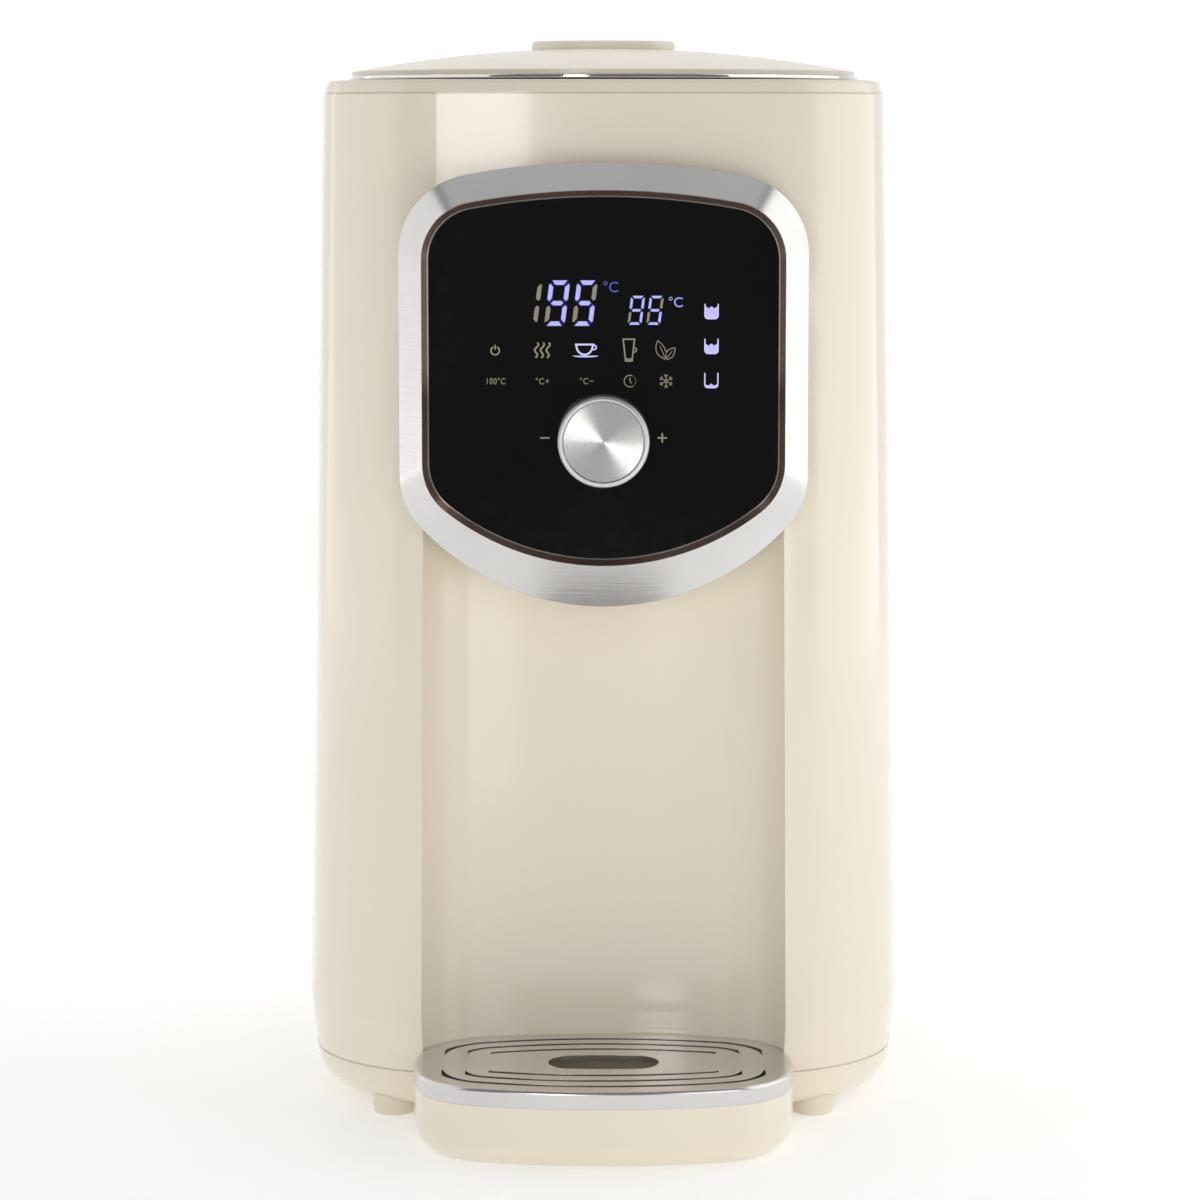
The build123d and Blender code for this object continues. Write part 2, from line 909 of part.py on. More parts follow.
with BuildPart() as top_collar:
    loft([body_outline(shoulder_height, shoulder_half), body_outline(collar_top, collar_half)], ruled=True)
    fillet(top_collar.edges().group_by(Axis.Z)[-1], collar_round)
    extrude(body_outline(shoulder_height - lip_overlap, shoulder_half, -wall - lip_gap), amount=lip_overlap)
    extrude(
        body_outline(shoulder_height - lip_overlap, shoulder_half, -wall - lip_gap - lip_thickness),
        amount=lip_overlap,
        mode=Mode.SUBTRACT,
    )
    with BuildSketch(hinge_axis_plane) as knuckle:
        Circle(hinge_barrel)
        with Locations((0, -hinge_barrel / 2)):
            Rectangle(2 * hinge_barrel, hinge_barrel)
    extrude(amount=hinge_half - lid_barrel_half - hinge_side_gap)
    knuckle_right = mirror(top_collar.part, about=Plane.YZ, mode=Mode.PRIVATE)
    add(knuckle_right)
    extrude(disc(neck_bottom, neck_radius + neck_thickness), amount=shoulder_height - neck_bottom + past)
    extrude(disc(neck_bottom + neck_flange, neck_radius), amount=collar_top - neck_bottom, mode=Mode.SUBTRACT)
    extrude(
        disc(neck_bottom - past, tank_radius - tank_sheet),
        amount=collar_top - neck_bottom,
        mode=Mode.SUBTRACT,
    )
    with BuildSketch(side_plane(-lid_barrel_half - hinge_side_gap, y=hinge_y, z=hinge_z)):
        Circle(hinge_barrel + hinge_notch_gap)
    extrude(amount=2 * (lid_barrel_half + hinge_side_gap), mode=Mode.SUBTRACT)
    with BuildSketch(hinge_axis_plane):
        Circle(pin_radius + running_gap)
    extrude(amount=2 * hinge_half, mode=Mode.SUBTRACT)
    with BuildSketch(level_plane(bolt_bottom - bolt_gap, y=body_y - neck_radius)):
        Rectangle(bolt_width + 2 * bolt_gap, 2 * bolt_pocket)
    extrude(amount=collar_top - bolt_bottom + past, mode=Mode.SUBTRACT)
    extrude(
        dots(level_plane(neck_bottom - past, y=body_y), collar_screw_places, screw_hole),
        amount=neck_flange,
        mode=Mode.SUBTRACT,
    )
    add(seam_groove(shoulder_height, shoulder_half), mode=Mode.SUBTRACT)
top_collar.part.label = "top_collar"
export_step(top_collar.part, "parts/top_collar.step")

# Lid hinge pin
with BuildPart() as lid_hinge_pin:
    with BuildSketch(side_plane(hinge_pin_inset - hinge_half, y=hinge_y, z=hinge_z)):
        Circle(pin_radius)
    extrude(amount=2 * (hinge_half - hinge_pin_inset))
lid_hinge_pin.part.label = "lid_hinge_pin"
export_step(lid_hinge_pin.part, "parts/lid_hinge_pin.step")

# Tank: a deep drawn can with a flat rim and a drain nipple
with BuildPart() as tank:
    extrude(disc(tank_bottom, tank_radius), amount=tank_rim - tank_bottom)
    fillet(tank.edges().group_by(Axis.Z)[0], tank_bottom_round)
    extrude(disc(tank_rim - tank_sheet, tank_flange_radius), amount=tank_sheet)
    nipple_bottom = tank_bottom - nipple_length - heater_thickness
    extrude(
        disc(nipple_bottom, nipple_radius, x=pump_x, y=pump_y),
        amount=tank_bottom + tank_sheet - nipple_bottom,
    )
    with BuildPart(mode=Mode.PRIVATE) as tank_inside:
        extrude(disc(tank_bottom + tank_sheet, tank_radius - tank_sheet), amount=tank_rim - tank_bottom)
        fillet(tank_inside.edges().group_by(Axis.Z)[0], tank_bottom_round - tank_sheet)
    add(tank_inside.part, mode=Mode.SUBTRACT)
    extrude(
        disc(nipple_bottom - past, nipple_bore, x=pump_x, y=pump_y),
        amount=tank_bottom - nipple_bottom + tank_bottom_round,
        mode=Mode.SUBTRACT,
    )
tank.part.label = "tank"
export_step(tank.part, "parts/tank.step")

# Tank gasket, between the tank's rim and the collar's neck
with BuildPart() as tank_gasket:
    extrude(disc(tank_rim, gasket_outer, gasket_outer - gasket_width), amount=gasket_thickness)
tank_gasket.part.label = "tank_gasket"
export_step(tank_gasket.part, "parts/tank_gasket.step")

# Clamp ring, drawn up against the neck by screws so that the tank's rim is held between them
clamp_top = tank_rim - tank_sheet
with BuildPart() as tank_clamp:
    extrude(disc(clamp_top - clamp_thickness, clamp_outer, tank_radius + clamp_gap), amount=clamp_thickness)
    extrude(
        disc(clamp_top, clamp_outer, tank_flange_radius + sleeve_gap), amount=tank_sheet + gasket_thickness
    )
    extrude(
        dots(level_plane(clamp_top - clamp_thickness - past, y=body_y), collar_screw_places, screw_hole),
        amount=clamp_thickness + tank_sheet + gasket_thickness + 2 * past,
        mode=Mode.SUBTRACT,
    )
tank_clamp.part.label = "tank_clamp"
export_step(tank_clamp.part, "parts/tank_clamp.step")

collar_screw_plane = Plane(origin=(0, body_y, clamp_top - clamp_thickness), x_dir=(1, 0, 0), z_dir=(0, 0, -1))
collar_screws = screws(
    collar_screw_plane,
    [(x, -y) for x, y in collar_screw_places],
    neck_bottom + neck_flange - past - clamp_top + clamp_thickness - seat_gap,
)
collar_screws.label = "collar_screws"
export_step(collar_screws, "parts/collar_screws.step")

# Insulation sleeve wrapped round the tank
sleeve_bottom = tank_bottom + sleeve_bottom_step
sleeve_top = tank_rim - sleeve_top_step
with BuildPart() as insulation_sleeve:
    extrude(disc(sleeve_bottom, sleeve_radius, tank_radius + sleeve_gap), amount=sleeve_top - sleeve_bottom)
insulation_sleeve.part.label = "insulation_sleeve"
export_step(insulation_sleeve.part, "parts/insulation_sleeve.step")

# Support ring: four arched legs that carry the tank over the pump
support_bottom = floor_top + support_standoff
with BuildPart() as support_ring:
    extrude(
        disc(support_bottom, support_outer, support_inner), amount=tank_bottom - seat_gap - support_bottom
    )
    extrude(
        disc(
            support_bottom, support_inner + support_foot + screw_head_radius + standoff_margin, support_inner
        ),
        amount=support_foot_thickness,
    )
    with BuildSketch(level_plane(support_bottom - past, y=body_y)):
        Rectangle(support_window_width, 4 * support_inner)
        Rectangle(4 * support_inner, support_window_width)
    extrude(amount=tank_bottom - support_arch - support_bottom + past, mode=Mode.SUBTRACT)
    extrude(
        dots(level_plane(support_bottom - past, y=body_y), support_places, screw_hole),
        amount=support_foot_thickness + 2 * past,
        mode=Mode.SUBTRACT,
    )
support_ring.part.label = "support_ring"
export_step(support_ring.part, "parts/support_ring.step")

support_screws = screws(
    level_plane(support_bottom + support_foot_thickness, y=body_y),
    support_places,
    support_foot_thickness + support_standoff + past,
)
support_screws.label = "support_screws"
export_step(support_screws, "parts/support_screws.step")

# Heater: a plate under the tank with a ring element cast into it
heater_bottom = tank_bottom - seat_gap - heater_thickness
element_z = heater_bottom - element_radius + element_sink
terminal_y = body_y + element_ring_radius
with BuildPart() as heater_plate:
    extrude(disc(heater_bottom, heater_radius), amount=heater_thickness)
    with BuildSketch(front_plane(body_y)):
        with Locations((element_ring_radius, element_z)):
            Circle(element_radius)
    revolve(axis=Axis((0, body_y, 0), (0, 0, 1)))
    extrude(
        disc(heater_bottom - past, nipple_radius + inlet_sleeve_wall + standoff_margin, x=pump_x, y=pump_y),
        amount=heater_thickness + 2 * past,
        mode=Mode.SUBTRACT,
    )
    extrude(
        disc(heater_bottom - past, probe_radius + seat_gap),
        amount=heater_thickness + 2 * past,
        mode=Mode.SUBTRACT,
    )
    terminals = [(-terminal_half_pitch, -element_sink), (terminal_half_pitch, -element_sink)]
    extrude(
        dots(
            level_plane(element_z - element_radius - terminal_length, y=terminal_y),
            terminals,
            terminal_radius,
        ),
        amount=terminal_length + element_radius,
    )
heater_plate.part.label = "heater_plate"
export_step(heater_plate.part, "parts/heater_plate.step")

# Thermal cut-out under the plate, and the temperature probe that reaches the tank through it
with BuildPart() as thermal_cutout:
    extrude(
        disc(heater_bottom - cutout_height, cutout_radius, x=cutout_x, y=cutout_y),
        amount=cutout_height - seat_gap,
    )
    extrude(
        disc(
            heater_bottom - cutout_flange_thickness - seat_gap,
            cutout_radius + cutout_flange,
            x=cutout_x,
            y=cutout_y,
        ),
        amount=cutout_flange_thickness,
    )
    tab_plane = level_plane(heater_bottom - cutout_height - tab_height, cutout_x, cutout_y)
    extrude(
        boxes(tab_plane, [(-tab_half_pitch, 0), (tab_half_pitch, 0)], tab_thickness, tab_width),
        amount=tab_height,
    )
thermal_cutout.part.label = "thermal_cutout"
export_step(thermal_cutout.part, "parts/thermal_cutout.step")

with BuildPart() as temperature_probe:
    extrude(disc(tank_bottom - seat_gap - probe_length, probe_radius), amount=probe_length)
    extrude(
        disc(heater_bottom - probe_flange_thickness - seat_gap, probe_flange_radius),
        amount=probe_flange_thickness,
    )
temperature_probe.part.label = "temperature_probe"
export_step(temperature_probe.part, "parts/temperature_probe.step")

# Pump: motor below, volute above, with its inlet under the tank's drain
pump_top = pump_bottom + pump_height
outlet_y = pump_y - outlet_offset
outlet_z = pump_bottom + pump_height / 2
with BuildPart() as pump_housing:
    extrude(disc(pump_bottom, pump_radius, x=pump_x, y=pump_y), amount=pump_height)
    extrude(disc(pump_top, nipple_radius, x=pump_x, y=pump_y), amount=nipple_length)
    with BuildSketch(side_plane(pump_x - outlet_reach, y=outlet_y, z=outlet_z)):
        Circle(hose_radius)
    extrude(amount=outlet_reach)
    extrude(
        disc(pump_bottom + pump_wall, pump_radius - pump_wall, x=pump_x, y=pump_y),
        amount=pump_height - 2 * pump_wall,
        mode=Mode.SUBTRACT,
    )
    extrude(
        disc(pump_top - pump_wall - past, nipple_bore, x=pump_x, y=pump_y),
        amount=pump_wall + nipple_length + 2 * past,
        mode=Mode.SUBTRACT,
    )
    with BuildSketch(side_plane(pump_x - outlet_reach, y=outlet_y, z=outlet_z)):
        Circle(hose_bore)
    extrude(amount=outlet_reach - hose_radius, mode=Mode.SUBTRACT)
    extrude(
        disc(pump_bottom + pump_wall - past, pin_radius, x=pump_x, y=pump_y),
        amount=past + impeller_gap + impeller_height,
    )
pump_housing.part.label = "pump_housing"
export_step(pump_housing.part, "parts/pump_housing.step")

impeller_bottom = pump_bottom + pump_wall + impeller_gap
with BuildPart() as pump_impeller:
    extrude(disc(impeller_bottom, impeller_radius, x=pump_x, y=pump_y), amount=impeller_disc)
    extrude(disc(impeller_bottom, impeller_hub, x=pump_x, y=pump_y), amount=impeller_height)
    blade_length = impeller_radius - impeller_hub
    with BuildSketch(level_plane(impeller_bottom, pump_x, pump_y)):
        with PolarLocations(0, impeller_blades):
            with Locations((impeller_hub + blade_length / 2 - hub_overlap, 0)):
                Rectangle(blade_length, impeller_blade_thickness)
    extrude(amount=impeller_height)
    extrude(
        disc(impeller_bottom - past, pin_radius + running_gap, x=pump_x, y=pump_y),
        amount=impeller_height + 2 * past,
        mode=Mode.SUBTRACT,
    )
pump_impeller.part.label = "pump_impeller"
export_step(pump_impeller.part, "parts/pump_impeller.step")

with BuildPart() as pump_motor:
    extrude(disc(floor_top, motor_radius, x=pump_x, y=pump_y), amount=pump_bottom - floor_top)
    fillet(pump_motor.edges().group_by(Axis.Z)[-1], motor_round)
pump_motor.part.label = "pump_motor"
export_step(pump_motor.part, "parts/pump_motor.step")

with BuildPart() as pump_inlet_sleeve:
    extrude(
        disc(pump_top, nipple_radius + inlet_sleeve_wall, nipple_radius + running_gap, x=pump_x, y=pump_y),
        amount=tank_bottom - heater_thickness - standoff_margin - pump_top,
    )
pump_inlet_sleeve.part.label = "pump_inlet_sleeve"
export_step(pump_inlet_sleeve.part, "parts/pump_inlet_sleeve.step")

# Outlet hose: out of the pump, up beside the tank and forward over the spout
hose_start = pump_x - outlet_reach
hose_corner_y = spout_y + hose_cross_y
hose_route = [
    (hose_start, outlet_y, outlet_z),
    (riser_x, outlet_y, outlet_z),
    (riser_x, outlet_y, hose_top),
    (riser_x + hose_cross_x, hose_corner_y, hose_top),
    (0.0, spout_y, hose_top),
    (0.0, spout_y, spout_neck_top),
]
with BuildPart() as outlet_hose:
    with BuildLine() as hose_line:
        FilletPolyline(*hose_route, radius=[hose_first_turn, hose_turn, hose_front_turn, hose_down_turn])
    with BuildSketch(side_plane(hose_start, y=outlet_y, z=outlet_z)):
        Circle(hose_radius)
        Circle(hose_bore, mode=Mode.SUBTRACT)
    sweep(path=hose_line.line)
outlet_hose.part.label = "outlet_hose"
export_step(outlet_hose.part, "parts/outlet_hose.step")

with BuildPart() as hose_couplers:
    with BuildSketch(side_plane(hose_start - coupler_half_length, y=outlet_y, z=outlet_z)):
        Circle(hose_radius + coupler_thickness)
        Circle(hose_radius + running_gap, mode=Mode.SUBTRACT)
    extrude(amount=2 * coupler_half_length)
    extrude(
        disc(
            spout_neck_top - coupler_half_length,
            hose_radius + coupler_thickness,
            hose_radius + running_gap,
            y=spout_y,
        ),
        amount=2 * coupler_half_length,
    )
hose_couplers.part.label = "hose_couplers"
export_step(hose_couplers.part, "parts/hose_couplers.step")

# Spout nozzle: through the overhang's floor, with a flange that seats on it
with BuildPart() as spout_nozzle:
    extrude(
        disc(spout_tip, spout_radius, y=spout_y),
        amount=spout_flange_bottom + spout_collar_height - spout_tip,
    )
    extrude(disc(spout_flange_bottom, spout_flange_radius, y=spout_y), amount=spout_flange_thickness)
    extrude(disc(spout_flange_bottom, hose_radius, y=spout_y), amount=spout_neck_top - spout_flange_bottom)
    fillet(spout_nozzle.edges().group_by(Axis.Z)[0], spout_round)
    extrude(
        disc(spout_tip - past, hose_bore, y=spout_y),
        amount=spout_neck_top - spout_tip + 2 * past,
        mode=Mode.SUBTRACT,
    )
spout_nozzle.part.label = "spout_nozzle"
export_step(spout_nozzle.part, "parts/spout_nozzle.step")

spout_floor = bezel_bottom + pod_inset + wall
with BuildPart() as spout_seal:
    extrude(
        disc(spout_floor + seal_lift, spout_flange_radius, spout_radius + running_gap, y=spout_y),
        amount=spout_flange_bottom - spout_floor - seal_lift,
    )
spout_seal.part.label = "spout_seal"
export_step(spout_seal.part, "parts/spout_seal.step")

# Bezel: a sloped metal frame whose back follows the housing's front
with BuildPart() as bezel:
    extrude(bezel_outline(bezel_land_y), amount=-bezel_sink - land_reach)
    loft([bezel_outline(bezel_land_y), glass_outline(crest_y, crest_margin)], ruled=True)
    loft([glass_outline(crest_y, crest_margin), glass_outline(glass_y)], ruled=True, mode=Mode.SUBTRACT)
    extrude(
        glass_outline(glass_y, glass_seat), amount=glass_y - front_y - bezel_sink - past, mode=Mode.SUBTRACT
    )
    add(housing, mode=Mode.SUBTRACT)
    extrude(
        dots(front_plane(panel_screw_y + past), panel_screw_places, screw_hole),
        amount=panel_screw_length + 3 * past,
        mode=Mode.SUBTRACT,
    )
bezel.part.label = "bezel"
export_step(bezel.part, "parts/bezel.step")

# Panel screws: from inside the shell into the bezel
panel_screw_plane = Plane(origin=(0, panel_screw_y, 0), x_dir=(-1, 0, 0), z_dir=(0, 1, 0))
panel_screws = screws(panel_screw_plane, panel_screw_places, panel_screw_length)
panel_screws.label = "panel_screws"
export_step(panel_screws, "parts/panel_screws.step")

# Panel glass, seated behind the bezel's lip, with a hole for the knob's shaft
with BuildPart() as panel_glass:
    extrude(glass_outline(glass_y, glass_seat - fit_gap), amount=-glass_thickness)
    with BuildSketch(front_plane(glass_y - past, z=knob_z)):
        Circle(knob_shaft_radius + glass_bore_gap)
    extrude(amount=-glass_thickness - 2 * past, mode=Mode.SUBTRACT)
panel_glass.part.label = "panel_glass"
export_step(panel_glass.part, "parts/panel_glass.step")

# Panel carrier: a frame behind the glass with a ledge that holds the board
glass_back = glass_y + glass_thickness
ledge_front = board_front_y + board_thickness
carrier_outline = glass_seat - fit_gap
with BuildPart() as panel_carrier:
    extrude(glass_outline(glass_back, carrier_outline), amount=-carrier_depth)
    extrude(
        glass_outline(glass_back, carrier_outline - carrier_wall),
        amount=glass_back - ledge_front,
        mode=Mode.SUBTRACT,
    )
    extrude(
        glass_outline(glass_back, carrier_outline - carrier_wall - ledge_width),
        amount=-carrier_depth,
        mode=Mode.SUBTRACT,
    )
    extrude(
        glass_outline(ledge_front + ledge_thickness, carrier_outline - carrier_wall),
        amount=-carrier_depth,
        mode=Mode.SUBTRACT,
    )
panel_carrier.part.label = "panel_carrier"
export_step(panel_carrier.part, "parts/panel_carrier.step")

# Display board with the display and the knob's encoder on its front
with BuildPart() as display_board:
    extrude(glass_outline(board_front_y, carrier_outline - carrier_wall - fit_gap), amount=-board_thickness)
display_board.part.label = "display_board"
export_step(display_board.part, "parts/display_board.step")

with BuildPart() as display_module:
    with BuildSketch(front_plane(board_front_y, z=display_z)):
        RectangleRounded(display_width, display_height, display_corner)
    extrude(amount=board_front_y - glass_back - 2 * seat_gap)
display_module.part.label = "display_module"
export_step(display_module.part, "parts/display_module.step")

encoder_front = glass_back + seat_gap
with BuildPart() as encoder:
    with BuildSketch(front_plane(board_front_y, z=knob_z)):
        Rectangle(encoder_size, encoder_size)
    extrude(amount=board_front_y - encoder_front)
    with BuildSketch(front_plane(board_front_y - seat_gap, z=knob_z)):
        Circle(knob_shaft_radius + running_gap)
    extrude(amount=board_sink, mode=Mode.SUBTRACT)
encoder.part.label = "encoder"
export_step(encoder.part, "parts/encoder.step")

# Knob: a spun metal face in a ring-edged body on a shaft that can be pressed
knob_back = glass_y - knob_travel - knob_standoff
knob_front = knob_back - knob_depth
shaft_back = board_front_y - knob_travel - 2 * knob_standoff
shaft_front = knob_front + knob_face_thickness + knob_rim
with BuildPart() as knob_shaft:
    with BuildSketch(front_plane(shaft_back, z=knob_z)):
        Circle(knob_shaft_radius)
    extrude(amount=shaft_back - shaft_front)
knob_shaft.part.label = "knob_shaft"
export_step(knob_shaft.part, "parts/knob_shaft.step")

with BuildPart() as knob_body:
    with BuildSketch(front_plane(knob_back, z=knob_z)):
        Circle(knob_radius)
    extrude(amount=knob_depth)
    fillet(knob_body.edges().group_by(Axis.Y)[0], knob_round)
    with BuildSketch(front_plane(knob_front, z=knob_z)):
        Circle(knob_face_radius)
    extrude(amount=-knob_face_thickness, mode=Mode.SUBTRACT)
    with BuildSketch(front_plane(knob_back, z=knob_z)):
        Circle(knob_radius - knob_wall)
        Circle(knob_shaft_radius + knob_hub, mode=Mode.SUBTRACT)
    extrude(amount=knob_back - shaft_front, mode=Mode.SUBTRACT)
    with BuildSketch(front_plane(knob_back, z=knob_z)):
        Circle(knob_shaft_radius + running_gap)
    extrude(amount=knob_back - shaft_front + seat_gap, mode=Mode.SUBTRACT)
knob_body.part.label = "knob_body"
export_step(knob_body.part, "parts/knob_body.step")

with BuildPart() as knob_face:
    with BuildSketch(front_plane(knob_front + knob_face_thickness, z=knob_z)):
        Circle(knob_face_radius - running_gap)
    extrude(amount=knob_face_thickness - knob_face_sink)
    chamfer(knob_face.edges().group_by(Axis.Y)[0], 2 * knob_face_sink)
knob_face.part.label = "knob_face"
export_step(knob_face.part, "parts/knob_face.step")

# Fan: a square frame against the left wall behind the louvres, and its rotor
with BuildPart() as fan_frame:
    with BuildSketch(fan_plane):
        RectangleRounded(2 * fan_half, 2 * fan_half, fan_round)
    extrude(amount=fan_depth)
    with BuildSketch(fan_plane):
        Circle(fan_bore)
    extrude(amount=fan_depth, mode=Mode.SUBTRACT)
    with BuildSketch(fan_plane.offset(fan_depth - strut_thickness)):
        Circle(hub_radius)
        with PolarLocations(0, strut_count):
            with Locations((fan_bore / 2, 0)):
                Rectangle(fan_bore + past, strut_width)
    extrude(amount=strut_thickness)
    with BuildSketch(fan_plane.offset(rotor_gap)):
        Circle(pin_radius)
    extrude(amount=fan_depth - rotor_gap - strut_thickness)
    extrude(dots(fan_plane, fan_corners, screw_hole), amount=fan_depth, mode=Mode.SUBTRACT)
fan_frame.part.label = "fan_frame"
export_step(fan_frame.part, "parts/fan_frame.step")

rotor_plane = fan_plane.offset(rotor_gap)
with BuildPart() as fan_rotor:
    with BuildSketch(rotor_plane):
        Circle(hub_radius)
    extrude(amount=rotor_depth)
    with BuildSketch(rotor_plane):
        Circle(pin_radius + running_gap)
    extrude(amount=fan_depth, mode=Mode.SUBTRACT)
    blade_middle = rotor_plane.offset(rotor_depth / 2).origin
    blade_root = hub_radius - hub_overlap
    for turn in range(blade_count):
        angle = radians(360.0 / blade_count * turn)
        outward = Vector(0, cos(angle), sin(angle))
        sideways = Vector(0, -sin(angle), cos(angle))
        chord = Vector(1, 0, 0) * cos(radians(blade_pitch)) + sideways * sin(radians(blade_pitch))
        with BuildSketch(Plane(blade_middle + outward * blade_root, x_dir=chord, z_dir=outward)):
            Rectangle(blade_chord, blade_thickness)
        extrude(amount=blade_radius - blade_root)
fan_rotor.part.label = "fan_rotor"
export_step(fan_rotor.part, "parts/fan_rotor.step")

fan_screw_plane = fan_plane.offset(fan_depth)
fan_screws = screws(fan_screw_plane, fan_corners, fan_depth + fan_screw_grip)
fan_screws.label = "fan_screws"
export_step(fan_screws, "parts/fan_screws.step")

# Power inlet: a socket with two blades and an earth pin, let into the back of the shell
inlet_plane = Plane(origin=(0, back_y - inlet_recess, inlet_z), x_dir=(-1, 0, 0), z_dir=(0, 1, 0))
inlet_flange_plane = inlet_plane.offset(inlet_recess - wall - inlet_flange_gap)
with BuildPart() as inlet_socket:
    with BuildSketch(inlet_plane):
        RectangleRounded(inlet_width, inlet_height, inlet_corner)
    extrude(amount=-inlet_depth)
    with BuildSketch(inlet_flange_plane):
        RectangleRounded(
            inlet_width + 2 * inlet_flange_margin, inlet_height + 2 * inlet_flange_margin, inlet_well_corner
        )
    extrude(amount=-inlet_flange_thickness)
    with BuildSketch(inlet_plane):
        RectangleRounded(inlet_well_width, inlet_well_height, inlet_well_corner)
    extrude(amount=-inlet_well_depth, mode=Mode.SUBTRACT)
inlet_socket.part.label = "inlet_socket"
export_step(inlet_socket.part, "parts/inlet_socket.step")

well_floor_plane = inlet_plane.offset(-inlet_well_depth)
with BuildPart() as inlet_pins:
    extrude(
        boxes(
            well_floor_plane,
            [
                (-blade_pin_spacing, -blade_pin_stagger),
                (0, blade_pin_stagger),
                (blade_pin_spacing, -blade_pin_stagger),
            ],
            blade_pin_width,
            blade_pin_height,
        ),
        amount=blade_pin_length,
    )
inlet_pins.part.label = "inlet_pins"
export_step(inlet_pins.part, "parts/inlet_pins.step")

# Power board on its two posts, with a transformer, a relay and a capacitor
with BuildPart() as power_board:
    with BuildSketch(front_plane(power_y + board_thickness, x=power_x, z=power_bottom + power_height / 2)):
        Rectangle(2 * power_half_width, power_height)
    extrude(amount=board_thickness)
    extrude(
        dots(front_plane(power_y + board_thickness + past), power_post_places, screw_hole),
        amount=board_thickness + 2 * past,
        mode=Mode.SUBTRACT,
    )
power_board.part.label = "power_board"
export_step(power_board.part, "parts/power_board.step")

component_plane = front_plane(power_y, x=power_x, z=power_bottom + component_rise)
with BuildPart() as board_components:
    for offset_x, size in ((-component_offset, transformer_size), (component_offset, relay_size)):
        with BuildSketch(component_plane):
            with Locations((offset_x, 0)):
                Rectangle(size[0], size[1])
        extrude(amount=size[2])
    with BuildSketch(front_plane(power_y, x=power_x, z=power_bottom + capacitor_rise)):
        Circle(capacitor_radius)
    extrude(amount=capacitor_length)
board_components.part.label = "board_components"
export_step(board_components.part, "parts/board_components.step")

board_screws = screws(front_plane(power_y), power_post_places, power_post_length)
board_screws.label = "board_screws"
export_step(board_screws, "parts/board_screws.step")

# Level sensor: a strip that stands on the sleeve's right
level_bottom = tank_bottom + level_bottom_step
with BuildPart() as level_sensor:
    with BuildSketch(level_plane(level_bottom, sleeve_radius + level_gap + level_thickness / 2, body_y)):
        Rectangle(level_thickness, level_width)
    extrude(amount=tank_rim - level_top_step - level_bottom)
level_sensor.part.label = "level_sensor"
export_step(level_sensor.part, "parts/level_sensor.step")

# Drip tray bowl: rounded underneath, open on top
with BuildPart() as tray_bowl:
    extrude(tray_outline(0.0), amount=tray_rim)
    fillet(tray_bowl.edges().group_by(Axis.Z)[0], tray_bottom_round)
    with BuildPart(mode=Mode.PRIVATE) as tray_inside:
        extrude(tray_outline(tray_floor, -tray_wall), amount=tray_rim)
        fillet(tray_inside.edges().group_by(Axis.Z)[0], tray_bottom_round - tray_wall)
    add(tray_inside.part, mode=Mode.SUBTRACT)
tray_bowl.part.label = "tray_bowl"
export_step(tray_bowl.part, "parts/tray_bowl.step")

# Drip tray cover: a metal cap with a drain hole and curved slots
lip_grow = -tray_wall - cover_lip_gap
with BuildPart() as tray_cover:
    extrude(tray_outline(tray_rim), amount=tray_top - tray_rim)
    fillet(tray_cover.edges().group_by(Axis.Z)[-1], cover_round)
    extrude(tray_outline(tray_rim, -cover_band), amount=tray_top - tray_rim - cover_plate, mode=Mode.SUBTRACT)
    extrude(
        tray_outline(tray_rim - cover_lip_depth, lip_grow),
        amount=cover_height + cover_lip_depth - cover_plate / 2,
    )
    extrude(
        tray_outline(tray_rim - cover_lip_depth, lip_grow - cover_lip_thickness),
        amount=cover_height + cover_lip_depth - cover_plate,
        mode=Mode.SUBTRACT,
    )
    extrude(
        grown(level_plane(tray_rim, y=tray_y), drain_edges, 0.0),
        amount=cover_height + past,
        mode=Mode.SUBTRACT,
    )
    for row in range(slot_rows):
        near = -slot_inset - row * slot_pitch + slot_width / 2
        reach = slot_half_length - row * slot_shortening
        with BuildPart(mode=Mode.PRIVATE) as slot_ring:
            extrude(tray_outline(tray_rim, near), amount=cover_height + past)
            extrude(tray_outline(tray_rim, near - slot_width), amount=cover_height + past, mode=Mode.SUBTRACT)
            with BuildSketch(level_plane(tray_rim, y=tray_y)):
                Rectangle(2 * reach, 4 * tray_half_depth)
            extrude(amount=cover_height + past, mode=Mode.INTERSECT)
        add(slot_ring.part, mode=Mode.SUBTRACT)
tray_cover.part.label = "tray_cover"
export_step(tray_cover.part, "parts/tray_cover.step")

